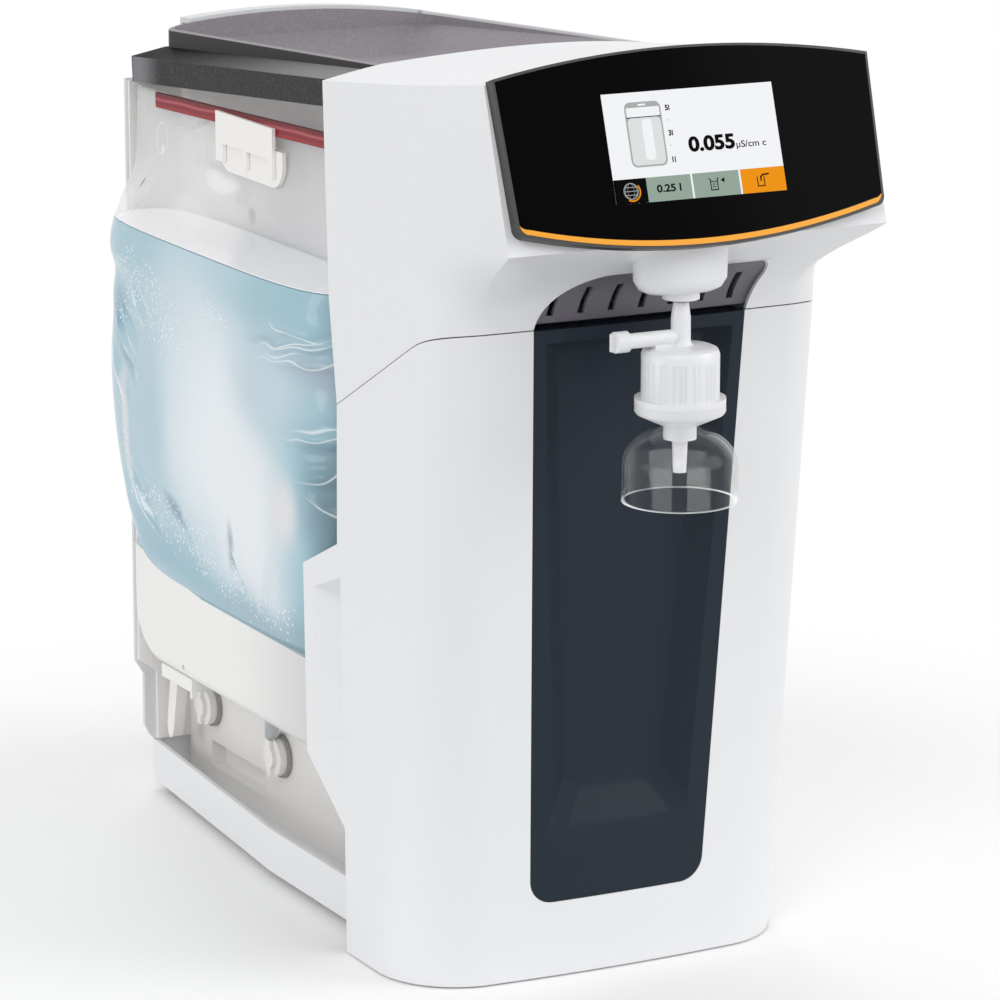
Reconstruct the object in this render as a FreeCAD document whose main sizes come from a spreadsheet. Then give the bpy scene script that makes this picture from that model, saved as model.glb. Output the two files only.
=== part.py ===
"""Ultrapure water system for the lab bench.

A white housing carries a tilted touch display over a filling point with a final filter and a
clear filling bell. The left side is an open bay for the storage bag. The treatment stages, pump,
lamp, valve and electronics stand on a chassis plate beside the bay. The origin is at the middle of
the footprint, on the bench; the front faces -Y, +X is to the right seen from the front, +Z is up.
"""
import FreeCAD, Part
import math
import os
import Sketcher

from FreeCAD import Placement, Rotation, Vector

doc = FreeCAD.newDocument("water_system")
sizes = doc.addObject("Spreadsheet::Sheet", "sizes")

# ---------------------------------------------------------------- driving dimensions, in mm
DIMENSIONS = {
    # the whole
    "body_depth": 504.0,
    "bulge_half_width": 117.4,
    "cover_half_width": 113.0,
    "cover_wall": 2.5,
    "bench_gap": 1.0,
    "panel_gap": 0.6,
    "seat_gap": 0.2,
    # front covers
    "face_setback": 94.5,
    "face_lean": 25.0,
    "face_bow": 2.5,
    "seam_height": 347.0,
    "foot_corner": 45.0,
    "seam_corner": 28.0,
    "seam_drop": 54.0,
    "chin_height": 50.0,
    "cover_rear": 186.0,
    "flank_length": 112.0,
    "wing_reach": 43.0,
    "wing_foot": 68.0,
    "wing_low": 98.0,
    "wing_high": 200.0,
    "wing_top": 219.0,
    "grip_depth": 11.0,
    # head and display
    "display_over_seam": 96.6,
    "display_setback": 18.2,
    "display_tilt": 18.1,
    "bezel_depth": 7.0,
    "bezel_half_width": 104.5,
    "bezel_corner_up": 38.3,
    "bezel_middle_up": 48.3,
    "bezel_middle_down": 50.7,
    "bezel_rim": 1.3,
    "glass_thickness": 1.8,
    "accent_width": 2.8,
    "screen_width": 105.4,
    "screen_height": 67.2,
    "screen_thickness": 3.0,
    "board_thickness": 1.6,
    # top
    "crown_front_over_seam": 145.0,
    "crown_middle_over_seam": 123.0,
    "crown_rear_over_seam": 106.0,
    "crown_radius": 520.0,
    # front insert, hood and outlet
    "insert_half_top": 60.0,
    "insert_half_foot": 50.0,
    "insert_foot": 42.0,
    "insert_corner": 13.0,
    "recess_depth": 11.0,
    "recess_foot": 80.5,
    "recess_half_foot": 40.0,
    "recess_half_top": 54.5,
    "recess_slope": 12.5,
    "arch_top_over_seam": 29.0,
    "arch_sweep": 34.0,
    "arch_corner": 9.0,
    "slot_pitch": 17.0,
    "slot_width": 3.6,
    "tap_setback": 30.0,
    "boss_half_width": 25.6,
    "boss_half_depth": 17.6,
    "boss_foot_over_seam": 21.5,
    "spigot_radius": 2.5,
    # final filter and bell
    "stem_top_over_seam": 16.6,
    "capsule_top_under_seam": 6.0,
    "capsule_radius": 19.5,
    "flange_radius": 22.7,
    "flange_top_under_seam": 31.5,
    "flange_foot_under_seam": 39.0,
    "collar_radius": 8.3,
    "collar_top_under_seam": 45.5,
    "collar_foot_under_seam": 52.5,
    "outlet_tip_under_seam": 69.5,
    "capsule_wall": 1.6,
    "vent_under_seam": 1.0,
    "vent_reach": 30.0,
    "vent_radius": 3.8,
    "bell_radius": 28.9,
    "bell_rim_under_seam": 84.0,
    "bell_shoulder_under_seam": 66.0,
    "bell_wall": 1.3,
    # base, rear and right side
    "base_half_width": 97.0,
    "base_rear_half": 82.0,
    "base_foot": 6.0,
    "base_lip": 30.0,
    "base_floor": 3.0,
    "foot_radius": 9.0,
    "rear_half_width": 93.0,
    "rear_wall": 3.0,
    "right_rear_half": 103.0,
    # lid
    "lid_over_seam": 90.5,
    "lid_fall": 4.6,
    "lid_skirt": 14.0,
    "lid_rise": 4.5,
    "lid_floor": 3.0,
    "dish_half_width": 78.0,
    "dish_floor": 3.0,
    "dish_lip": 4.0,
    "dish_slope": 26.0,
    "lid_corner": 22.0,
    # bag bay
    "bay_wall": 2.0,
    "bay_depth": 60.0,
    "chassis_thickness": 2.0,
    "hose_mouth_radius": 4.0,
    "bag_setback": 21.0,
    "bag_end_gap": 9.0,
    "bag_under_lid": 0.6,
    "bag_foot": 125.0,
    "bag_gap": 0.4,
    "zip_height": 8.5,
    "zip_reach": 37.6,
    "zip_thickness": 2.2,
    "clip_width": 72.5,
    "clip_height": 27.0,
    "clip_rise": 2.4,
    "clip_reach": 40.0,
    "clip_setback": 214.4,
    "hanger_height": 20.0,
    "hanger_corner": 13.0,
    "cradle_foot": 89.5,
    "cradle_crest": 141.0,
    "cradle_reach": 42.0,
    "cradle_corner": 33.0,
    "coupling_radius": 11.2,
    "hose_radius": 4.0,
    # inside
    "cartridge_radius": 36.0,
    "cartridge_height": 270.0,
    "module_radius": 27.0,
    "module_height": 290.0,
    "pump_radius": 26.0,
    "pump_length": 70.0,
    "lamp_radius": 18.0,
    "lamp_height": 200.0,
}

for row, (alias, value) in enumerate(DIMENSIONS.items(), start=1):
    sizes.set(f"A{row}", alias)
    sizes.set(f"B{row}", str(value))
    sizes.setAlias(f"B{row}", alias)
doc.recompute()


class Size(float):
    """A length that remembers the sheet expression it came from."""

    def __new__(cls, number, text):
        made = super().__new__(cls, number)
        made.text = text
        return made

    def __add__(self, other):
        return joined(self, "+", other, float(self) + float(other))

    def __radd__(self, other):
        return joined(other, "+", self, float(other) + float(self))

    def __sub__(self, other):
        return joined(self, "-", other, float(self) - float(other))

    def __rsub__(self, other):
        return joined(other, "-", self, float(other) - float(self))

    def __mul__(self, other):
        return joined(self, "*", other, float(self) * float(other))

    def __rmul__(self, other):
        return joined(other, "*", self, float(other) * float(self))

    def __truediv__(self, other):
        return joined(self, "/", other, float(self) / float(other))

    def __neg__(self):
        return joined(0, "-", self, -float(self))


def words(value):
    """The expression text of a size, or of a plain number."""
    return value.text if isinstance(value, Size) else repr(float(value))


def joined(first, sign, second, number):
    return Size(number, f"({words(first)} {sign} {words(second)})")


class Sheet:
    """Reads a cell by its alias, as a Size."""

    def __getattr__(self, alias):
        return Size(float(sizes.get(alias)), f"sizes.{alias}")


d = Sheet()
nodes = []


def node(item):
    """Lists an object as a finished piece."""
    nodes.append(item)
    return item


# ---------------------------------------------------------------- small modelling helpers
def tie(item, prop, value):
    item.setExpression(prop, words(value))


def place(item, x, y, z, axis=Vector(0, 0, 1), angle=0.0):
    item.Placement = Placement(Vector(float(x), float(y), float(z)), Rotation(axis, float(angle)))
    for letter, value in zip("xyz", (x, y, z)):
        if isinstance(value, Size):
            tie(item, f"Placement.Base.{letter}", value)
    return item


def block(name, x, y, z):
    """A box between pairs of limits."""
    item = doc.addObject("Part::Box", name)
    for prop, (low, high) in zip(("Length", "Width", "Height"), (x, y, z)):
        tie(item, prop, high - low)
    return place(item, x[0], y[0], z[0])


TURNS = {
    "Z": (Vector(0, 0, 1), 0.0),
    "Y": (Vector(1, 0, 0), -90.0),
    "X": (Vector(0, 1, 0), 90.0),
}


def rod(name, radius, length, x, y, z, along="Z"):
    """A cylinder that starts at a point and runs along one axis."""
    item = doc.addObject("Part::Cylinder", name)
    tie(item, "Radius", radius)
    tie(item, "Height", length)
    return place(item, x, y, z, *TURNS[along])


def taper(name, radius_low, radius_high, length, x, y, z, along="Z"):
    """A cone that starts at a point and runs along one axis."""
    item = doc.addObject("Part::Cone", name)
    tie(item, "Radius1", radius_low)
    tie(item, "Radius2", radius_high)
    tie(item, "Height", length)
    return place(item, x, y, z, *TURNS[along])


def fused(name, *parts):
    item = doc.addObject("Part::MultiFuse", name)
    item.Shapes = list(parts)
    item.Refine = True
    return item


def cut(name, base, *tools):
    tool = tools[0] if len(tools) == 1 else fused(f"{name}_tools", *tools)
    item = doc.addObject("Part::Cut", name)
    item.Base = base
    item.Tool = tool
    return item


def group(name, *parts):
    item = doc.addObject("Part::Compound", name)
    item.Links = list(parts)
    return item


def shaped(name, shape):
    item = doc.addObject("Part::Feature", name)
    item.Shape = shape
    return item


def rounded(name, base, radius, picks):
    """A Part::Fillet on the edges that a test picks."""
    doc.recompute()
    item = doc.addObject("Part::Fillet", name)
    item.Base = base
    item.Edges = [(index, float(radius), float(radius))
                  for index, edge in enumerate(base.Shape.Edges, start=1) if picks(edge)]
    return item


def origin_plane(body, role):
    return next(plane for plane in body.Origin.OriginFeatures if plane.Role == role)


def fixed_point(sketch, index, end, x, y):
    """Ties one end of a sketch line to its place by the sheet."""
    for kind, axis, value in (("DistanceX", -2, x), ("DistanceY", -1, y)):
        if float(value) == 0.0:
            sketch.addConstraint(Sketcher.Constraint("PointOnObject", index, end, axis))
            continue
        number = sketch.addConstraint(Sketcher.Constraint(kind, -1, 1, index, end, float(value)))
        sketch.setExpression(f"Constraints[{number}]", words(value))


def outlined(body, role, points, name):
    """A closed sketch of straight lines through the given points."""
    sketch = body.newObject("Sketcher::SketchObject", name)
    sketch.AttachmentSupport = [(origin_plane(body, role), "")]
    sketch.MapMode = "FlatFace"
    corners = [Vector(float(x), float(y), 0) for x, y in points]
    for index, start in enumerate(corners):
        end = corners[(index + 1) % len(corners)]
        sketch.addGeometry(Part.LineSegment(start, end), False)
    for index, (x, y) in enumerate(points):
        before = (index - 1) % len(points)
        sketch.addConstraint(Sketcher.Constraint("Coincident", before, 2, index, 1))
        fixed_point(sketch, index, 1, x, y)
    return sketch


def turned(name, profile, x, y):
    """A body turned about its own upright axis from (radius, height) points."""
    body = doc.addObject("PartDesign::Body", name)
    sketch = outlined(body, "XZ_Plane", profile, f"{name}_profile")
    turn = body.newObject("PartDesign::Revolution", f"{name}_turn")
    turn.Profile = sketch
    turn.ReferenceAxis = (sketch, ["V_Axis"])
    turn.Angle = 360.0
    body.Tip = turn
    return place(body, x, y, 0)


def padded(name, role, points, length, x=0.0, y=0.0, z=0.0):
    """A body pushed out from a straight-sided outline on one origin plane."""
    body = doc.addObject("PartDesign::Body", name)
    sketch = outlined(body, role, points, f"{name}_outline")
    pad = body.newObject("PartDesign::Pad", f"{name}_pad")
    pad.Profile = sketch
    pad.Length = float(length)
    tie(pad, "Length", length)
    body.Tip = pad
    return place(body, x, y, z)


def line(start, end):
    return Part.LineSegment(Vector(*start), Vector(*end)).toShape()


def arc(start, middle, end):
    return Part.Arc(Vector(*start), Vector(*middle), Vector(*end)).toShape()


def closed(*edges):
    return Part.Wire(list(edges))


def slab(wire, direction):
    """A solid pushed out of a flat closed wire."""
    return Part.Face(wire).extrude(Vector(*direction))


def prism(points, start, length, axis):
    """A solid of straight-sided outline, pushed along X or Y from a start value."""
    if axis == "X":
        corners = [Vector(start, a, b) for a, b in points]
        way = Vector(length, 0, 0)
    else:
        corners = [Vector(a, start, b) for a, b in points]
        way = Vector(0, length, 0)
    return Part.Face(Part.makePolygon(corners + corners[:1])).extrude(way)


# ---------------------------------------------------------------- places that many pieces share
front_y = -d.body_depth / 2
rear_y = d.body_depth / 2
tap_y = front_y + d.tap_setback
face_foot_y = front_y + d.face_setback
face_seam_y = face_foot_y - d.face_lean
cover_rear_y = front_y + d.cover_rear
head_rear_y = cover_rear_y + 14.7
display_y = front_y + d.display_setback
tilt = math.radians(d.display_tilt)
FAR = 1000.0
half_root = math.sqrt(0.5)

# heights that go with the seam between the front covers
crown_front = d.seam_height + d.crown_front_over_seam
crown_middle = d.seam_height + d.crown_middle_over_seam
crown_rear = d.seam_height + d.crown_rear_over_seam
arch_top = d.seam_height + d.arch_top_over_seam
display_height = d.seam_height + d.display_over_seam
lid_height = d.seam_height + d.lid_over_seam
boss_foot = d.seam_height + d.boss_foot_over_seam
stem_top = d.seam_height + d.stem_top_over_seam
lid_drop = math.tan(math.radians(d.lid_fall))
bag_top = lid_height - lid_drop * (rear_y - d.bag_end_gap + 1.0) - d.bag_under_lid
capsule_top = d.seam_height - d.capsule_top_under_seam
flange_top = d.seam_height - d.flange_top_under_seam
flange_foot = d.seam_height - d.flange_foot_under_seam
collar_top = d.seam_height - d.collar_top_under_seam
collar_foot = d.seam_height - d.collar_foot_under_seam
outlet_tip = d.seam_height - d.outlet_tip_under_seam
vent_height = d.seam_height - d.vent_under_seam
bell_rim = d.seam_height - d.bell_rim_under_seam
bell_shoulder = d.seam_height - d.bell_shoulder_under_seam
seam_rear_height = d.seam_height - d.seam_drop
head_top = crown_front + 28.0
bag_length = rear_y - cover_rear_y - d.bag_setback - d.bag_end_gap
shelf_height = d.seam_height - 17.0
plan_low = d.seam_height + 33.0
port_y = rear_y - 99.0
port_height = d.seam_height + 5.0


def display_plane_y(height):
    """Y of the display's front plane at a height."""
    return display_y + (height - display_height) * math.tan(tilt)


def head_face_y(height):
    """Y of the white face that the bezel sits on."""
    return display_plane_y(height) + d.bezel_depth / math.cos(tilt)


# ---------------------------------------------------------------- outer form of the front covers
def plan_section(height, half, corner_start, corner_middle, corner_end, front, bow, rear):
    """Closed outline at one height, symmetric about the YZ plane."""
    left = [(-half, rear), (-half, corner_start), corner_middle, corner_end]
    right = [(-x, y) for x, y in left]
    left = [(x, y, height) for x, y in left]
    right = [(x, y, height) for x, y in right]
    if bow > 0.05:
        front_edge = arc(left[3], (0, front, height), right[3])
    else:
        front_edge = line(left[3], right[3])
    return closed(line(right[0], left[0]), line(left[0], left[1]), arc(left[1], left[2], left[3]),
                  front_edge, arc(right[3], right[2], right[1]), line(right[1], right[0]))


def column_section(height, inset, rear):
    """Outline of the front column: it leans forward and its corners tighten upwards."""
    rise = height / d.seam_height
    corner = d.foot_corner + (d.seam_corner - d.foot_corner) * rise
    front = face_foot_y - d.face_lean * rise
    edge = front + d.face_bow
    centre_x = d.cover_half_width - corner
    centre_y = edge + corner
    reach = (corner - inset) * half_root
    return plan_section(height, d.cover_half_width - inset, centre_y,
                        (-centre_x - reach, centre_y - reach), (-centre_x, edge + inset),
                        front + inset, d.face_bow, rear)


def corner_middle(half, start, end_x, end_y):
    """Middle point of the arc that leaves the side wall square and ends at a corner point."""
    aside = half + end_x
    ahead = start - end_y
    radius = (aside * aside + ahead * ahead) / (2 * aside)
    sweep = math.atan2(ahead, radius - aside)
    if radius < aside:
        sweep = math.pi - math.atan2(ahead, aside - radius)
    return (-half + radius - radius * math.cos(sweep / 2), start - radius * math.sin(sweep / 2))


# Chin, at steps of height above the seam: how far the face has come forward (share of the way to
# the display), and how far its corner is drawn out to the side (share of the way).
CHIN_STEPS = (
    (0.18, 0.05, 0.10),
    (0.38, 0.17, 0.28),
    (0.60, 0.40, 0.55),
    (0.82, 0.73, 0.84),
    (1.00, 1.00, 1.00),
)


def chin_sections(inset, rear):
    """Outlines from the seam up to the foot of the display."""
    seam = d.seam_height
    top = seam + d.chin_height
    low_front = face_foot_y - d.face_lean
    low_start = low_front + d.face_bow + d.seam_corner
    low_x = -(d.cover_half_width - d.seam_corner)
    high_front = head_face_y(top)
    high_x = -(d.bezel_half_width + 1.0)
    high_start = high_front + d.flank_length
    half = d.cover_half_width - inset
    sections = [column_section(seam, inset, rear)]
    for rise, forward, aside in CHIN_STEPS:
        height = seam + d.chin_height * rise
        front = low_front + (high_front - low_front) * forward + inset
        start = low_start + (high_start - low_start) * forward
        bow = (1 - forward) * d.face_bow
        end_x = low_x + (high_x - low_x) * aside + inset * aside
        end_y = front + bow
        sections.append(plan_section(height, half, start,
                                     corner_middle(half, start, end_x, end_y),
                                     (end_x, end_y), front, bow, rear))
    return sections


def head_section(height, inset, rear):
    front = head_face_y(height) + inset
    end_x = -(d.bezel_half_width + 1.0) + inset
    start = front - inset + d.flank_length
    half = d.cover_half_width - inset
    return plan_section(height, half, start, corner_middle(half, start, end_x, front),
                        (end_x, front), front, 0.0, rear)


def crown(drop):
    """The space under the crowned top, lowered by a drop."""
    half = d.bulge_half_width + 12.0
    sag = half * half / (2 * d.crown_radius)
    sections = []
    for y, height in ((front_y - 10, crown_front), (head_rear_y, crown_middle),
                      (rear_y + 10, crown_rear)):
        peak = height - drop
        low = peak - sag
        sections.append(closed(line((-half, y, -20), (half, y, -20)),
                               line((half, y, -20), (half, y, low)),
                               arc((half, y, low), (0, y, peak), (-half, y, low)),
                               line((-half, y, low), (-half, y, -20))))
    return Part.makeLoft(sections, True, True)


def covers_form(inset, rear, drop):
    """One solid of the column, chin and head, drawn in by an inset."""
    column = Part.makeLoft([column_section(d.bench_gap, inset, rear),
                            column_section(d.seam_height, inset, rear)], True, True)
    chin = Part.makeLoft(chin_sections(inset, rear), True, False)
    top = d.seam_height + d.chin_height
    head = Part.makeLoft([head_section(top, inset, rear),
                          head_section(crown_front + 14, inset, rear)], True, True)
    return column.fuse([chin, head]).common(crown(drop))


def rear_edge(shift, wing):
    """Space behind the rear edge of the front covers, as a prism along X."""
    y = cover_rear_y + shift
    low = [(y - 7.0, -20), (y - 5.5, d.wing_foot)]
    if wing:
        reach = y + d.wing_reach
        low += [(reach - 3, d.wing_low), (reach, d.wing_high), (y + 1.5, d.wing_top)]
    else:
        low = [(y - 7.0, -20), (y, d.wing_top)]
    points = low + [(y + 0.5, seam_rear_height), (y + 9.0, d.seam_height),
                    (y + 14.7, crown_middle - 8.0), (y + 14.7, head_top), (FAR, head_top), (FAR, -20)]
    width = d.bulge_half_width + 20.0
    if wing:
        return prism(points, -width, width, "X")
    return prism(points, 0.0, width, "X")


def seam_space(shift):
    """Space above the seam between the lower and upper front cover, along X."""
    seam = d.seam_height + shift
    drop = d.seam_height - seam_rear_height
    bend_start = face_seam_y - 2.0
    bend_end = face_seam_y + 28.0
    fall = drop / (cover_rear_y - (bend_start + bend_end) / 2)
    low = seam - fall * (bend_end - bend_start) / 2
    middle_y = (bend_start + bend_end) / 2
    last = cover_rear_y + 40.0
    over = head_top + 80.0
    edges = [line((-FAR, front_y - 60, seam), (-FAR, bend_start, seam)),
             arc((-FAR, bend_start, seam), (-FAR, middle_y, seam - 0.26 * (seam - low)),
                 (-FAR, bend_end, low)),
             line((-FAR, bend_end, low), (-FAR, cover_rear_y, seam - drop)),
             line((-FAR, cover_rear_y, seam - drop), (-FAR, last, seam - 1.36 * drop)),
             line((-FAR, last, seam - 1.36 * drop), (-FAR, last, over)),
             line((-FAR, last, over), (-FAR, front_y - 60, over)),
             line((-FAR, front_y - 60, over), (-FAR, front_y - 60, seam))]
    return slab(closed(*edges), (2 * FAR, 0, 0))


def face_prism(half_foot, half_top, foot, top, corner, start, length):
    """A prism along Y with rounded lower corners."""
    def side(height):
        share = (height - d.insert_foot) / (d.seam_height - d.insert_foot)
        return half_foot + (half_top - half_foot) * share
    bend = corner * (1 - half_root)
    low = side(foot + corner)
    high = side(top)
    edges = [line((-low, start, foot + corner), (-high, start, top)),
             line((-high, start, top), (high, start, top)),
             line((high, start, top), (low, start, foot + corner)),
             arc((low, start, foot + corner), (low - bend, start, foot + bend),
                 (low - corner, start, foot)),
             line((low - corner, start, foot), (corner - low, start, foot)),
             arc((corner - low, start, foot), (bend - low, start, foot + bend),
                 (-low, start, foot + corner))]
    return slab(closed(*edges), (0, length, 0))


def arch_prism(grow):
    """The opening over the insert: a long sweep on the left, a tight corner on the right."""
    half = d.insert_half_top + 0.6 + grow
    foot = d.seam_height - 30.0
    top = arch_top + grow
    sweep = d.arch_sweep
    corner = d.arch_corner
    y = front_y - 30.0
    spread = 4.0
    right = half + spread
    edges = [line((-half, y, foot), (-half, y, top - sweep)),
             arc((-half, y, top - sweep),
                 (-half + sweep * (1 - half_root), y, top - sweep * (1 - half_root)),
                 (-half + sweep, y, top)),
             line((-half + sweep, y, top), (right - corner, y, top)),
             arc((right - corner, y, top),
                 (right - corner * (1 - half_root), y, top - corner * (1 - half_root)),
                 (right, y, top - corner)),
             line((right, y, top - corner), (half, y, d.seam_height)),
             line((half, y, d.seam_height), (half, y, foot)),
             line((half, y, foot), (-half, y, foot))]
    return slab(closed(*edges), (0, 120, 0))


def dish_outline(inset, height):
    """Outline of the dish seen from above, with a bowed front edge."""
    half = d.dish_half_width - inset
    front = head_rear_y + inset
    middle = head_rear_y - 28.0 + inset
    back = rear_y - 15.0 - inset
    corner = max(18.0 - inset, 4.0)
    bend = corner * (1 - half_root)
    z = height
    right = half + 14.0
    return closed(arc((-half, front, z), (0, middle, z), (right, front, z)),
                  line((right, front, z), (right, back - corner, z)),
                  arc((right, back - corner, z), (right - bend, back - bend, z),
                      (right - corner, back, z)),
                  line((right - corner, back, z), (corner - half, back, z)),
                  arc((corner - half, back, z), (bend - half, back - bend, z),
                      (-half, back - corner, z)),
                  line((-half, back - corner, z), (-half, front, z)))


# ---------------------------------------------------------------- front covers, insert and hood
def build_front_covers():
    wall = d.cover_wall
    outer = covers_form(0.0, cover_rear_y + 60, 0.0)
    inner = covers_form(wall, cover_rear_y + 70, wall)
    floorless = Part.makeBox(2 * FAR, FAR, 40, Vector(-FAR, -FAR / 2, d.bench_gap - 20))
    floorless = floorless.common(Part.makeLoft(
        [column_section(d.bench_gap - 10, wall, cover_rear_y + 70),
         column_section(d.bench_gap + 20, wall, cover_rear_y + 70)], True, True))
    shell = outer.cut([inner, floorless])
    shell = shell.cut([rear_edge(0.0, True), rear_edge(0.0, False)])
    upper = shell.common(seam_space(d.panel_gap / 2))
    lower = shell.cut(seam_space(-d.panel_gap / 2))

    # lower cover: the opening for the insert and the grip pocket in the wing
    gap = d.seat_gap
    opening = face_prism(d.insert_half_foot + gap, d.insert_half_top + gap, d.insert_foot - gap,
                         d.seam_height + 40, d.insert_corner + gap, front_y - 20, 140)
    lower = lower.cut(opening)
    depth = d.grip_depth
    side = -d.cover_half_width
    wing_y = cover_rear_y + d.wing_reach
    grip_mouth = [(wing_y - 12, d.wing_low + 4), (wing_y - 12, d.wing_high - 10),
                  (cover_rear_y - 2, d.wing_high + 2), (cover_rear_y - 7, d.wing_low - 10)]
    grip_floor = [(wing_y - 22, d.wing_low + 10), (wing_y - 22, d.wing_high - 13),
                  (cover_rear_y + 2, d.wing_high - 6), (cover_rear_y - 2, d.wing_low + 2)]

    def grip(grow, low, high):
        wires = []
        for points, x in ((grip_mouth, low), (grip_floor, high)):
            middle_y = sum(point[0] for point in points) / 4
            middle_z = sum(point[1] for point in points) / 4
            corners = []
            for y, z in points:
                corners.append(Vector(side + x, y + math.copysign(grow, y - middle_y),
                                      z + math.copysign(grow, z - middle_z)))
            wires.append(Part.makePolygon(corners + corners[:1]))
        return Part.makeLoft(wires, True, True)

    lower = lower.fuse(grip(wall, 0.5, depth + wall)).cut(grip(0.0, -0.1, depth))
    node(shaped("front_lower_cover", lower.removeSplitter()))

    # upper cover: the arch, the notch for the dish, the cable hole and the outlet boss
    arch = arch_prism(0.0)
    dish = slab(dish_outline(-0.6, plan_low), (0, 0, 200))
    cable = Part.makeBox(50, 60, 24, Vector(-25, front_y, display_height - 12))
    bore = Part.makeCylinder(d.spigot_radius + 1.6, 60, Vector(0, tap_y, boss_foot - 5))
    upper = upper.cut([arch, dish, cable, bore]).removeSplitter()
    boss_top = d.seam_height + d.chin_height - 1.0
    boss = Part.makeLoft([boss_section(boss_foot, 7.0), boss_section(boss_foot + 1.8, 3.4),
                          boss_section(boss_foot + 6.0, 0.8), boss_section(boss_top, 0.0)],
                         True, True)
    node(shaped("front_upper_cover", upper.fuse(boss.cut(bore))))

    # insert: a deep dish that fills the opening of the lower cover
    body = face_prism(d.insert_half_foot, d.insert_half_top, d.insert_foot,
                      d.seam_height - d.panel_gap, d.insert_corner, front_y - 20, 160)
    thick = d.recess_depth + 3.0
    body = body.common(outer).cut(
        Part.makeLoft([column_section(d.bench_gap - 5, thick, cover_rear_y + 90),
                       column_section(d.seam_height + 5, thick, cover_rear_y + 90)], True, True))
    node(shaped("front_insert", body.cut(insert_recess())))

    # hood: follows the chin from inside, with upright slots
    near = wall + 0.3
    hood = Part.makeLoft(chin_sections(near, cover_rear_y), True, False)
    hood = hood.cut(Part.makeLoft(chin_sections(near + 2.4, cover_rear_y + 10), True, False))
    hood = hood.common(arch_prism(5.0))
    hood = hood.common(Part.makeBox(2 * FAR, FAR, 100, Vector(-FAR, -FAR, d.seam_height + 2.5)))
    hood = hood.cut(Part.makeCylinder(d.boss_half_width + 3, 60, Vector(0, tap_y, boss_foot - 8.5)))
    hood = hood.cut(boss_clear())
    half_count = 3
    for number in range(-half_count, half_count + 1):
        x = number * d.slot_pitch - d.slot_width / 2
        hood = hood.cut(Part.makeBox(d.slot_width, 200, 15,
                                     Vector(x, front_y - 20, d.seam_height + 6.5)))
    hood = max(hood.Solids, key=lambda solid: solid.Volume)
    node(shaped("hood_louvre", hood))


def boss_section(height, inset):
    """Oval outline of the boss at one height."""
    centre = Vector(0, tap_y + 1.0, height)
    oval = Part.Ellipse(centre, d.boss_half_width - inset, d.boss_half_depth - inset)
    return Part.Wire([oval.toShape()])


def boss_clear():
    """The boss's own outline, grown a little, through the hood."""
    wires = [boss_section(boss_foot - 30, -1.0), boss_section(boss_foot + 60, -1.0)]
    return Part.makeLoft(wires, True, True)


def insert_recess():
    """The sloped hollow of the insert, from its rim to its floor."""
    lean = d.face_lean / d.seam_height
    over = 3.0
    wires = []
    for depth in (-over, d.recess_depth):
        inward = d.recess_slope * depth / d.recess_depth
        foot = d.recess_foot + 1.55 * inward
        top = d.seam_height - 7.0 - 0.4 * inward
        half_foot = d.recess_half_foot - inward
        half_top = d.recess_half_top - inward
        corner = 9.0
        bend = corner * (1 - half_root)

        def at(x, height):
            y = face_foot_y - height * lean + depth
            return (x, y, height)
        low = half_foot + (half_top - half_foot) * corner / (top - foot)
        wires.append(closed(line(at(-low, foot + corner), at(-half_top, top)),
                            line(at(-half_top, top), at(half_top, top)),
                            line(at(half_top, top), at(low, foot + corner)),
                            arc(at(low, foot + corner), at(low - bend, foot + bend),
                                at(low - corner, foot)),
                            line(at(low - corner, foot), at(corner - low, foot)),
                            arc(at(corner - low, foot), at(bend - low, foot + bend),
                                at(-low, foot + corner))))
    return Part.makeLoft(wires, True, True)


# ---------------------------------------------------------------- outlet and final filter
def build_outlet():
    pipe = d.spigot_radius
    ring_foot = stem_top + 1.3
    ring = rod("ring_outer", Size(9.25, "9.25"), boss_foot - ring_foot, 0.0, tap_y, ring_foot)
    hole = rod("ring_hole", pipe + 1.6, boss_foot - ring_foot + 2, 0.0, tap_y, ring_foot - 1)
    node(cut("nozzle_ring", ring, hole))
    seal = rod("seal_outer", Size(5.0, "5"), ring_foot - stem_top - 0.1, 0.0, tap_y,
               stem_top + 0.1)
    hole = rod("seal_hole", pipe, ring_foot - stem_top + 2, 0.0, tap_y, stem_top - 1)
    node(cut("nozzle_seal", seal, hole))
    spigot_foot = stem_top - 12.0
    tip = rod("spigot_tip", pipe, Size(14.0, "14"), 0.0, tap_y, spigot_foot)
    neck = rod("spigot_neck", pipe + 1.5, Size(34.0, "34"), 0.0, tap_y, spigot_foot + 13.3)
    way = rod("spigot_way", pipe - 1.0, Size(60.0, "60"), 0.0, tap_y, spigot_foot - 5)
    node(cut("dispense_spigot", fused("spigot_body", tip, neck), way))


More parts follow.
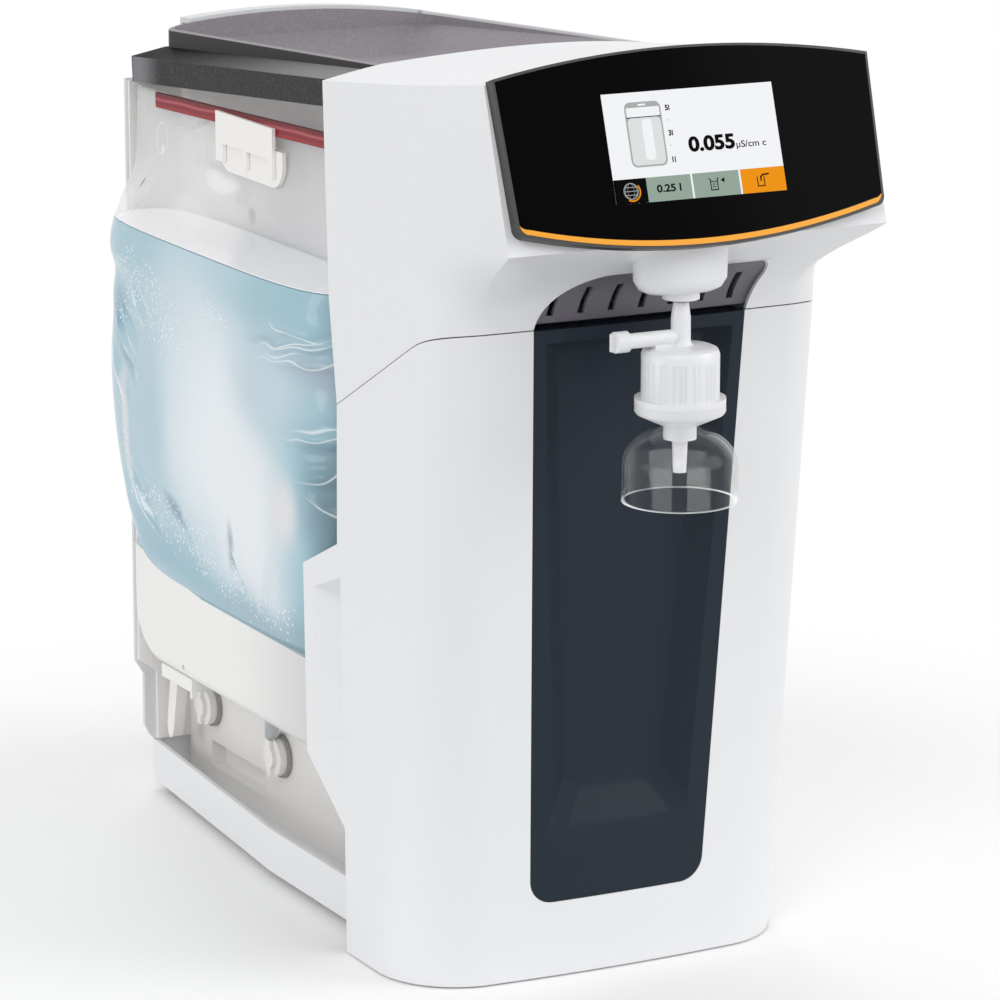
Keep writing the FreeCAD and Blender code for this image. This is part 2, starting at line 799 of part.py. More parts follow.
def build_filter():
    wall = d.capsule_wall
    bore = d.spigot_radius + 0.1
    top = capsule_top
    weld = flange_top - 3.0
    shell = turned("capsule_shell_turned", [
        (bore, stem_top), (bore + 1.2, stem_top), (bore + 2.3, stem_top - 8),
        (bore + 2.4, top + 2.5), (bore + 3.6, top + 0.8), (d.capsule_radius - 3.5, top),
        (d.capsule_radius - 1.0, top - 1.1), (d.capsule_radius, top - 3.6),
        (d.capsule_radius, flange_top), (d.flange_radius, flange_top), (d.flange_radius, weld),
        (d.capsule_radius - wall, weld), (d.capsule_radius - wall, top - 4.2),
        (d.capsule_radius - 4.2, top - wall), (bore + 2.4, top - wall), (bore, top + 1.0),
    ], 0.0, tap_y)
    arm = rod("vent_arm_barrel", d.vent_radius, d.vent_reach - 4.0, -d.vent_reach, tap_y,
              vent_height, "X")
    web = block("vent_arm_web", (-(d.capsule_radius - 4.0), -4.0), (tap_y - 2.6, tap_y + 2.6),
                (top - 0.6, vent_height))
    arm_bore = rod("vent_arm_bore", d.vent_radius - 1.4, d.vent_reach - 14.0,
                   -d.vent_reach - 1, tap_y, vent_height, "X")
    stem_bore = rod("stem_bore", bore, Size(40.0, "40"), 0.0, tap_y, top - 1)
    node(cut("capsule_shell", fused("capsule_with_arm", shell, arm, web), arm_bore, stem_bore))

    tip = 3.35
    node(turned("capsule_base", [
        (1.6, outlet_tip), (tip, outlet_tip), (tip + 0.6, collar_foot),
        (d.collar_radius, collar_foot), (d.collar_radius, collar_top),
        (d.collar_radius + 2, collar_top + 0.4), (d.flange_radius - 1.0, flange_foot - 0.8),
        (d.flange_radius, flange_foot + 0.6), (d.flange_radius, weld),
        (d.capsule_radius - wall - 2, weld), (d.capsule_radius - wall - 2, flange_foot + 2.4),
        (4.0, collar_top + 3.2), (1.6, collar_top + 1.0),
    ], 0.0, tap_y))

    element_foot = weld
    outside = rod("membrane_outer", d.capsule_radius - wall - 0.3, top - wall - 5 - element_foot,
                  0.0, tap_y, element_foot)
    inside = rod("membrane_hole", Size(5.0, "5"), top - element_foot, 0.0, tap_y, element_foot - 1)
    node(cut("capsule_membrane", outside, inside))

    cap_foot = -d.vent_reach - 7.0
    cap = rod("vent_cap", Size(5.3, "5.3"), Size(6.8, "6.8"), cap_foot, tap_y, vent_height, "X")
    plug = rod("vent_plug", d.vent_radius - 1.45, Size(12.0, "12"), cap_foot + 3, tap_y,
               vent_height, "X")
    grip_low = block("vent_grip", (cap_foot - 2.2, cap_foot + 1), (tap_y - 1.2, tap_y + 1.2),
                     (vent_height - 4.4, vent_height + 4.4))
    node(fused("vent_screw", cap, plug, grip_low))

    radius = d.bell_radius
    rim = bell_rim
    shoulder = bell_shoulder
    apex = collar_top - 0.2
    neck = d.collar_radius + 0.05
    thin = d.bell_wall

    def dome(grow):
        """The meridian of the bell: an upright wall and a quarter oval, down to the neck."""
        wide = radius - grow
        tall = apex - grow - shoulder
        arc_points = []
        for step in range(1, 9):
            turn = math.radians(step * 10.2)
            arc_points.append((wide * math.cos(turn), shoulder + tall * math.sin(turn)))
        return [point for point in arc_points if point[0] > neck + 1]

    outside = [Vector(x, 0, z) for x, z in [(radius, rim), (radius, shoulder)] + dome(0.0)]
    outside.append(Vector(neck, 0, apex))
    inside = [Vector(x, 0, z) for x, z in [(radius - thin, rim), (radius - thin, shoulder)]
              + dome(thin)]
    inside.append(Vector(neck, 0, apex - thin * 1.6))
    outer_curve = Part.BSplineCurve()
    outer_curve.interpolate(outside[1:])
    inner_curve = Part.BSplineCurve()
    inner_curve.interpolate(inside[1:])
    face = Part.Face(Part.Wire([
        Part.makeLine(outside[0], outside[1]), outer_curve.toShape(),
        Part.makeLine(outside[-1], inside[-1]), inner_curve.toShape(),
        Part.makeLine(inside[1], inside[0]), Part.makeLine(inside[0], outside[0])]))
    bell = face.revolve(Vector(0, 0, 0), Vector(0, 0, 1), 360)
    item = shaped("filling_bell", bell)
    node(place(item, 0.0, tap_y, 0.0))


# ---------------------------------------------------------------- display
def panel_outline(side, top, bottom):
    """The display's outline in its own plane, drawn in by three insets."""
    low_half = d.bezel_half_width - 2.5 - side
    high_half = d.bezel_half_width - side
    corner = d.bezel_corner_up
    high = corner - top
    low = -corner + bottom
    bend = 5.0
    rise = (d.bezel_middle_down - corner) * bend / low_half
    share = bend / (high - low)
    side_x = low_half + (high_half - low_half) * share
    return closed(
        arc((low_half - bend, low - rise, 0), (low_half - bend * 0.28, low + bend * 0.20, 0),
            (side_x, low + bend, 0)),
        line((side_x, low + bend, 0), (high_half, high, 0)),
        arc((high_half, high, 0), (0, d.bezel_middle_up - top, 0), (-high_half, high, 0)),
        line((-high_half, high, 0), (-side_x, low + bend, 0)),
        arc((-side_x, low + bend, 0), (-low_half + bend * 0.28, low + bend * 0.20, 0),
            (-low_half + bend, low - rise, 0)),
        arc((-low_half + bend, low - rise, 0), (0, -d.bezel_middle_down + bottom, 0),
            (low_half - bend, low - rise, 0)))


def on_display(name, shape):
    """Stands a shape that was drawn flat onto the tilted display plane."""
    item = shaped(name, shape)
    return place(item, 0.0, display_y, display_height, Vector(1, 0, 0), 90.0 - d.display_tilt)


def build_display():
    rim = d.bezel_rim
    glass = d.glass_thickness
    strip = d.accent_width
    screen_w = d.screen_width
    screen_h = d.screen_height
    slack = 0.3
    body = slab(panel_outline(0.0, 0.0, 0.0), (0, 0, -d.bezel_depth))
    seat = slab(panel_outline(rim, rim, rim), (0, 0, -glass))
    stack = d.screen_thickness + d.board_thickness + glass
    window = Part.makeBox(screen_w + 2 * slack, screen_h + 2 * slack, stack,
                          Vector(-screen_w / 2 - slack, -screen_h / 2 - slack, -stack))
    plug = Part.makeBox(30, 12, 20, Vector(-15, -6, -18))
    node(on_display("display_bezel", body.cut([seat, window, plug])))
    pane = slab(panel_outline(rim + 0.1, rim + 0.1, rim + strip + 0.1), (0, 0, -glass))
    node(on_display("display_glass", pane))
    band = slab(panel_outline(rim + 0.1, rim + 0.1, rim + 0.1), (0, 0, -glass))
    band = band.cut(slab(panel_outline(rim - 1.0, rim - 1.0, rim + strip), (0, 0, -glass)))
    band = max(band.Solids, key=lambda solid: solid.Volume)
    node(on_display("accent_strip", band))
    module = Part.makeBox(screen_w, screen_h, d.screen_thickness,
                          Vector(-screen_w / 2, -screen_h / 2, -glass - d.screen_thickness))
    node(on_display("display_screen", module))
    board = Part.makeBox(screen_w - 2, screen_h - 2, d.board_thickness,
                         Vector(1 - screen_w / 2, 1 - screen_h / 2, -stack))
    node(on_display("display_board", board))


# ---------------------------------------------------------------- base, feet, rear and right side
def build_base():
    wall = d.cover_wall
    floor = d.base_foot
    lip = d.base_lip
    step_y = cover_rear_y - 5.0
    half = d.base_half_width
    slack = 0.3
    front = Part.makeLoft([column_section(floor, wall + slack, step_y),
                           column_section(lip - 8, wall + slack, step_y)], True, True)

    def tub(inset, low):
        back = rear_y - inset
        points = [Vector(-half + inset, step_y - 2 + inset, low),
                  Vector(-half + inset, 60.0, low),
                  Vector(-half + inset + 2, 84.0, low),
                  Vector(-d.base_rear_half + inset, back, low),
                  Vector(d.base_rear_half - inset, back, low),
                  Vector(half - inset - 2, 84.0, low),
                  Vector(half - inset, 60.0, low),
                  Vector(half - inset, step_y - 2 + inset, low)]
        return Part.Face(Part.makePolygon(points + points[:1])).extrude(Vector(0, 0, lip - low + 10))

    rear = tub(0.0, floor).common(Part.makeBox(FAR, FAR, lip - floor, Vector(-FAR / 2, -FAR / 2,
                                                                              floor)))
    hollow = tub(wall, floor + d.base_floor)
    front_hollow = Part.makeLoft([column_section(floor + d.base_floor, 2 * wall + slack, step_y + 8),
                                  column_section(lip, 2 * wall + slack, step_y + 8)], True, True)
    gate = Part.makeBox(1.6 * half, 20, lip, Vector(-0.8 * half, step_y - 10, floor + d.base_floor))
    tray = front.fuse(rear).cut([hollow, front_hollow, gate])
    node(shaped("base_tray", tray.removeSplitter()))

    feet = []
    for number, (x, y) in enumerate(((-80.0, face_foot_y + 30.0), (80.0, face_foot_y + 30.0),
                                     (-68.0, rear_y - 18.0), (68.0, rear_y - 18.0))):
        low = taper(f"foot_{number}_low", d.foot_radius - 1.0, d.foot_radius, floor, x, y, 0.0)
        feet.append(low)
    node(group("feet", *feet))


def right_section(height, inset):
    """Outline of the right half of the rear body."""
    start = cover_rear_y - 12.0 - inset
    wide = d.cover_half_width - inset
    swell = d.bulge_half_width - inset
    corner_x = d.right_rear_half - inset
    back = rear_y - inset
    inner = 20.0
    z = height
    corner_y = rear_y - 19.0
    return closed(line((inner, start, z), (wide, start, z)),
                  arc((wide, start, z), (swell, 90.0, z), (corner_x, corner_y, z)),
                  arc((corner_x, corner_y, z), (corner_x - 5.5 + 0.3 * inset, back - 5.0, z),
                      (corner_x - 18.0 + 0.6 * inset, back, z)),
                  line((corner_x - 18.0 + 0.6 * inset, back, z), (inner, back, z)),
                  line((inner, back, z), (inner, start, z)))


FEED_X = -15.0
DRAIN_X = -43.0
FITTING_Z = 80.0
FITTING_RADIUS = 8.0
SCREW_RADIUS = 3.0
SCREW_SINK = 1.6
screw_middle = d.seam_height - 147.0
screw_high = d.seam_height + 53.0
SCREW_SPOTS = ((-82.0, screw_middle), (76.0, screw_middle), (-82.0, screw_high),
               (76.0, screw_high), (-70.0, 44.0), (70.0, 44.0))


def rear_hole(x, z, radius, depth):
    """A round tool that reaches in from behind the rear face."""
    return Part.makeCylinder(radius, depth + 10, Vector(x, rear_y - depth, z), Vector(0, 1, 0))


def build_right_and_rear():
    wall = d.cover_wall
    foot = d.base_foot + 2.0
    tall = (0, 0, head_top)
    split = d.right_rear_half - 17.4
    form = slab(right_section(foot, 0.0), tall).common(crown(0.0))
    hollow = slab(right_section(foot - 1, wall), tall).common(crown(wall))
    shell = form.cut(hollow).common(rear_edge(d.panel_gap, False))
    dish = slab(dish_outline(-0.5, plan_low), (0, 0, 200))
    inner = Part.makeBox(split, FAR, FAR, Vector(0, -60.0, foot - 5))
    front_strip = Part.makeBox(split + 5, 80, FAR, Vector(0, front_y, foot - 5))
    shell = shell.cut([dish, inner, front_strip])
    shell = max(shell.Solids, key=lambda solid: solid.Volume)
    floor_y0 = cover_rear_y + 2.0
    ledge = slab(right_section(foot, wall - 0.5), (0, 0, wall)).common(
        Part.makeBox(60, rear_y - floor_y0 - 24, 20,
                     Vector(d.base_half_width + 0.3, floor_y0, foot)))
    node(shaped("right_cover", shell.fuse(ledge).removeSplitter()))

    # rear panel: a wall with a rim over the rear end of the dish
    thick = d.rear_wall
    left = -d.rear_half_width
    right = split - d.panel_gap
    foot = d.base_lip + 0.3
    points = [(left + 11, foot), (right, foot), (right, head_top), (left, head_top), (left, foot + 48),
              (left + 5, foot + 40), (left + 5, foot + 9), (left + 8, foot + 3)]
    wall_form = prism(points, rear_y - thick, thick, "Y")
    rim = Part.makeBox(right + 58, 16, 60, Vector(-58, rear_y - 16, lid_height - 17.5))
    rim = rim.common(crown(0.0)).cut([crown(thick), dish])
    lid_corner = Part.makeBox(60, 20, 80, Vector(left - 20, rear_y - 19, lid_height - 19.5))
    body = wall_form.common(crown(0.0)).fuse(rim).cut(lid_corner.cut(
        Part.makeBox(60, 30, 100, Vector(-58, rear_y - 25, plan_low))))
    body = body.cut([Part.makeBox(46, 20, 34, Vector(20, rear_y - 10, 60)),
                     Part.makeBox(30, 20, 22, Vector(24, rear_y - 10, 110)),
                     rear_hole(FEED_X, FITTING_Z, FITTING_RADIUS + 0.1, 10.0),
                     rear_hole(DRAIN_X, FITTING_Z, FITTING_RADIUS + 0.1, 10.0)])
    for x, z in SCREW_SPOTS:
        body = body.cut(rear_hole(x, z, SCREW_RADIUS + 0.1, SCREW_SINK))
    vent_low = d.seam_height - 47.0
    for row in range(8):
        body = body.cut(Part.makeBox(80, 20, 3, Vector(-30, rear_y - 10, vent_low + 9 * row)))
    body = max(body.Solids, key=lambda solid: solid.Volume)
    node(shaped("rear_panel", body))


# ---------------------------------------------------------------- lid and dish
def lid_tilted(shape):
    """Tips a level shape down to the rear about the X axis through the lid's reference height."""
    turned_shape = shape.copy()
    turned_shape.rotate(Vector(0, 0, lid_height), Vector(1, 0, 0), -d.lid_fall)
    return turned_shape


def build_lid():
    base = lid_height
    half = d.base_half_width
    front = head_rear_y + 0.5
    back = rear_y - 3.6
    corner = d.lid_corner
    bend = corner * (1 - half_root)
    seat = -d.dish_half_width - 0.3
    skirt = d.lid_skirt
    right = d.dish_half_width + 10

    def outline(inset, height):
        """The lid's outline in plan, drawn in at its left and rear edges."""
        left = inset - half
        end = back - inset
        round_off = corner - inset
        short = bend * round_off / corner
        return closed(line((left, front - 24, height), (right, front - 24, height)),
                      line((right, front - 24, height), (right, end, height)),
                      line((right, end, height), (left + round_off, end, height)),
                      arc((left + round_off, end, height), (left + short, end - short, height),
                          (left, end - round_off, height)),
                      line((left, end - round_off, height), (left, front - 24, height)))

    wall = Part.Face(outline(0.0, base)).extrude(Vector(0, 0, skirt))
    slope = Part.makeLoft([outline(0.0, base + skirt),
                           outline(seat + half, base + skirt + d.lid_rise)], True, True)
    left_part = Part.makeBox(half - 58 + 1, FAR, 100, Vector(-half - 1, -FAR / 2, base - 1))
    bar = wall.fuse(slope).common(left_part)
    bar = bar.fuse(Part.Face(outline(0.0, base)).extrude(Vector(0, 0, d.lid_floor)))
    open_plan = Part.makeBox(FAR, back - front, 200, Vector(-FAR / 2, front, plan_low))
    bar = lid_tilted(bar).common(open_plan)
    dish_space = slab(dish_outline(-0.3, plan_low), (0, 0, 200))
    floor_plane = lid_tilted(Part.makeBox(FAR, FAR, 100, Vector(-FAR / 2, -FAR / 2,
                                                                base + d.lid_floor)))
    frame = bar.cut(dish_space.common(floor_plane))
    frame = frame.common(crown(1.0))
    node(shaped("lid_frame", frame.removeSplitter()))

    body = slab(dish_outline(0.0, plan_low), (0, 0, 200)).common(floor_plane).common(crown(2.0))
    top = base + 36.0
    floor = base + d.lid_floor + d.dish_floor
    hollow = Part.makeLoft([dish_outline(d.dish_slope, floor), dish_outline(d.dish_lip, base + 21.0),
                            dish_outline(d.dish_lip, top)], True, True)
    node(shaped("lid_dish", body.cut(lid_tilted(hollow))))


# ---------------------------------------------------------------- bag bay
BAG_LEVELS = (
    # share of the height, outer reach from the bay wall, inner gap, share of the length,
    # roundness of the rear end: small is boxy, 1 is an ellipse
    (0.00, 24.0, 8.0, 0.70, 0.42),
    (0.02, 31.0, 5.0, 0.78, 0.42),
    (0.06, 39.5, 3.0, 0.86, 0.42),
    (0.11, 45.5, 2.0, 0.91, 0.42),
    (0.18, 51.0, 1.4, 0.95, 0.42),
    (0.29, 55.8, 1.0, 0.975, 0.42),
    (0.40, 57.6, 1.0, 1.00, 0.42),
    (0.51, 57.6, 1.0, 1.00, 0.42),
    (0.62, 57.4, 1.2, 1.00, 0.44),
    (0.74, 56.6, 2.4, 1.00, 0.48),
    (0.79, 49.0, 8.0, 0.995, 0.5),
    (0.84, 39.5, 14.0, 0.99, 0.5),
    (0.89, 35.6, 19.0, 0.985, 0.48),
    (0.95, 34.0, 24.0, 0.98, 0.5),
    (1.00, 33.4, 27.0, 0.975, 0.42),
)
BAG_STATIONS = 28
BAG_FRONT_ROUNDNESS = 0.8


def bag_form(grow):
    """The filled bag: a pillow with a full belly and a flat top edge."""
    wall_x = -d.bay_depth - d.bag_gap
    middle_y = cover_rear_y + d.bag_setback + bag_length / 2
    tall = bag_top - d.bag_foot
    wires = []
    for share, reach, gap, length, roundness in BAG_LEVELS:
        height = d.bag_foot + tall * share
        if share == 0.0:
            height -= grow
        half = bag_length / 2 * length + grow
        outer = wall_x - reach - grow
        inner = wall_x - gap + grow
        middle_x = (outer + inner) / 2
        thick = (inner - outer) / 2
        points = []
        for number in range(BAG_STATIONS):
            turn = 2 * math.pi * (number + 0.5) / BAG_STATIONS
            power = roundness if math.cos(turn) > 0 else BAG_FRONT_ROUNDNESS
            along = math.copysign(abs(math.cos(turn)) ** roundness, math.cos(turn))
            across = math.copysign(abs(math.sin(turn)) ** power, math.sin(turn))
            points.append(Vector(middle_x + thick * across, middle_y + half * along, height))
        curve = Part.BSplineCurve()
        curve.interpolate(Points=points, PeriodicFlag=True)
        wires.append(Part.Wire([curve.toShape()]))
    return Part.makeLoft(wires, True, False)


def build_bay():
    wall = d.bay_wall
    side = -d.bay_depth
    front = cover_rear_y + 4.0
    back = rear_y - d.rear_wall
    foot = d.base_foot + d.base_floor
    top = lid_height - 16.0
    # liner: an upright wall with a return at the front and at the rear, and a port
    top_front = lid_height - lid_drop * front - 0.05
    top_back = lid_height - lid_drop * back - 0.05
    sheet = prism([(front, foot), (back, foot), (back, top_back), (front, top_front)], side, wall,
                  "X")
    edge_x = -(d.rear_half_width - 1.0)
    low = d.base_lip + 0.5
    narrow_x = side - 21.0
    rear_return = prism([(side, low), (narrow_x, low), (narrow_x, low + 41.0), (edge_x, low + 49.0),
                         (edge_x, top_back), (side, top_back)], back - wall, wall, "Y")
    front_return = Part.makeBox(30, wall, top - foot, Vector(side - 30, front, foot))
    relief = Part.makeBox(8, 60, 16, Vector(side - 8, port_y + 3, port_height + 6))
    port = Part.makeCylinder(5.0, 30, Vector(side - 10, port_y, port_height), Vector(1, 0, 0))
    pocket = Part.makeBox(10, 77, 18, Vector(side, rear_y - 110.5, 18.5))
    slot = Part.makeBox(13.5, 74, 15, Vector(side - 5, rear_y - 109, 20))
    spots = [Part.makeCylinder(6.1, 20, Vector(side - 10, y, z), Vector(1, 0, 0))
             for y, z in COUPLINGS]
    liner = sheet.fuse([rear_return, front_return, relief, pocket]).cut([port, slot] + spots)
    node(shaped("bay_liner", liner.removeSplitter()))

    node(shaped("storage_bag", bag_form(0.0)))

    # zip: a strip along the top of the bag
    strip_y = cover_rear_y + 20.0
    corner = Vector(side - d.bag_gap - d.zip_reach, strip_y, bag_top + 0.9)
    strip = Part.makeBox(d.zip_thickness, bag_length - 45.5, d.zip_height, corner)
    strip.rotate(corner, Vector(1, 0, 0), -2.1)
    strip = strip.cut(bag_form(0.3))
    strip = max(strip.Solids, key=lambda solid: solid.Volume)
    node(shaped("bag_zip", strip))

    # clip: an apron with three legs over the zip, hooked to the hanger behind it
    clip_y = rear_y - d.clip_setback
    clip_foot = bag_top + d.clip_rise - d.clip_height
    clip_x = side - d.bag_gap - d.clip_reach
    apron = Part.makeBox(2.0, d.clip_width, d.clip_height, Vector(clip_x, clip_y, clip_foot))
    notch = 11.0
    for start, opening in ((5.5, 27.5), (37.5, 25.5)):
        apron = apron.cut(Part.makeBox(6, opening, notch, Vector(clip_x - 2, clip_y + start,
                                                                 clip_foot - 1)))
    node(shaped("bag_clip", apron))
    tab_foot = clip_foot - 5.0
    tab = Part.makeBox(2.2, d.clip_width + 8, d.hanger_height,
                       Vector(clip_x + 2.2, clip_y - 8, tab_foot))
    low = [edge for edge in tab.Edges if edge.Length < 3 and edge.CenterOfMass.z < tab_foot + 1]
    tab = tab.makeFillet(d.hanger_corner, low)
    tab = tab.cut(bag_form(0.3))
    tab = tab.cut(strip)
    tab = max(tab.Solids, key=lambda solid: solid.Volume)
    node(shaped("bag_hanger", tab))

    # cradle: a shelf under the belly of the bag, higher and rounded off at its rear end
    near_y = cover_rear_y + 12.0
    far_y = rear_y - 19.0
    shelf = prism([(near_y, d.cradle_foot), (far_y, d.cradle_foot), (far_y, d.cradle_crest + 15.5),
                   (far_y - 50.0, d.cradle_crest + 6.5), (far_y - 100.0, d.cradle_crest + 1.5),
                   (near_y, d.cradle_crest)], side - d.cradle_reach, d.cradle_reach, "X")
    corner = [edge for edge in shelf.Edges
              if edge.CenterOfMass.distanceToPoint(
                  Vector(side - d.cradle_reach / 2, far_y, d.cradle_foot)) < 1.0]
    shelf = shelf.makeFillet(d.cradle_corner, corner)
    rim = [edge for edge in shelf.Edges
           if edge.CenterOfMass.x < side - d.cradle_reach + 0.1
           and (edge.CenterOfMass.z < d.cradle_foot + 12.0 or edge.CenterOfMass.y > far_y - 12.0)]
    shelf = shelf.makeFillet(9.0, rim)
    shelf = shelf.cut(Part.makeBox(10.0, 40.0, 90.0,
                                   Vector(side - d.cradle_reach - 6.0, near_y - 15.0,
                                          d.cradle_foot - 5.0)))
    hollow = d.bag_foot - 5.0 - d.cradle_foot
    shelf = shelf.cut(Part.makeBox(26.0, bag_length - 50, hollow + 8,
                                   Vector(side - 29.0, cover_rear_y + 18.0, d.cradle_foot - 8)))
    shelf = shelf.cut(bag_form(d.bag_gap))
    for y, z in COUPLINGS:
        shelf = shelf.cut(Part.makeCylinder(d.hose_radius + 0.6, 80,
                                            Vector(side - HOSE_OFFSET, y, d.cradle_foot - 5)))
    # a bracket with a hanging lip under the shelf, and a small hole above it
    bracket_y = rear_y - 96.0
    bracket_x = side - 39.0
    bracket = Part.makeBox(18.5, 42.0, 7.5, Vector(bracket_x, bracket_y, d.cradle_foot - 6.5))
    lip = Part.makeBox(2.5, 2.5, 8.0, Vector(bracket_x, bracket_y, d.cradle_foot - 10.0))
    hole = Part.makeCylinder(1.6, 12.0, Vector(bracket_x - 6.0, bracket_y + 5.0,
                                               d.cradle_foot + 7.5), Vector(1, 0, 0))
    shelf = shelf.fuse([bracket, lip]).cut(hole)
    shelf = max(shelf.Solids, key=lambda solid: solid.Volume)
    node(shaped("bag_cradle", shelf))


COUPLINGS = ((rear_y - 38.0, 57.0), (rear_y - 133.0, 51.0))
HOSE_OFFSET = 6.9


def build_couplings():
    side = -d.bay_depth
    seals = []
    for number, (y, z) in enumerate(COUPLINGS):
        kind = ("bag_inlet_coupling", "bag_outlet_coupling")[number]
        radius = d.coupling_radius
        disc = rod(f"{kind}_disc", radius, Size(4.2, "4.2"), side - 7.0, y, z, "X")
        core = rod(f"{kind}_core", Size(6.0, "6"), Size(11.5, "11.5"), side - 9.5, y, z, "X")
        grip = block(f"{kind}_grip", (side - 9.5, side - 6.0), (y - 2.6, y + 2.6),
                     (z - radius + 1, z + radius - 1))
        node(fused(kind, disc, core, grip))
        ring = rod(f"{kind}_ring", radius + 1.2, Size(2.4, "2.4"), side - 2.7, y, z, "X")
        hole = rod(f"{kind}_ring_hole", Size(6.2, "6.2"), Size(10.0, "10"), side - 6.0, y, z, "X")
        seals.append(cut(f"{kind}_seal", ring, hole))
    node(group("coupling_seals", *seals))

    # hoses from the bag's foot down behind the cradle to the couplings
    hoses = []
    for number, (y, z) in enumerate(COUPLINGS):
        start = z + d.coupling_radius + 0.4
        hose = rod(f"hose_{number}", d.hose_radius, d.cradle_foot + 48.0 - start,
                   side - HOSE_OFFSET, y, start)
        hose = cut(f"hose_{number}_trimmed", hose, shaped(f"hose_{number}_bag", bag_form(0.3)))
        hoses.append(hose)
    node(group("bag_hoses", *hoses))

    # lock lever on its pin, under the cradle near the rear
    pin_z = 82.0
    pin_y = rear_y - 27.0
    pin_x = side - 22.0
    pin = rod("lever_pin", Size(2.0, "2"), Size(22.0, "22"), pin_x, pin_y, pin_z, "X")
    node(pin)
    hub = rod("lever_hub", Size(5.4, "5.4"), Size(6.5, "6.5"), pin_x + 3, pin_y, pin_z, "X")
    arm = padded("lever_arm", "YZ_Plane", [
        (pin_y - 5.4, pin_z), (pin_y + 5.4, pin_z), (pin_y + 12.5, Size(42.0, "42")),
        (pin_y + 11.5, Size(37.0, "37")), (pin_y + 8.5, Size(34.5, "34.5")),
        (pin_y + 5.5, Size(36.0, "36")), (pin_y + 3.5, Size(41.0, "41"))], Size(6.5, "6.5"),
        pin_x + 3)
    bore = rod("lever_bore", Size(2.05, "2.05"), Size(30.0, "30"), pin_x - 5, pin_y, pin_z, "X")
    node(cut("lock_lever", fused("lever_body", hub, arm), bore))


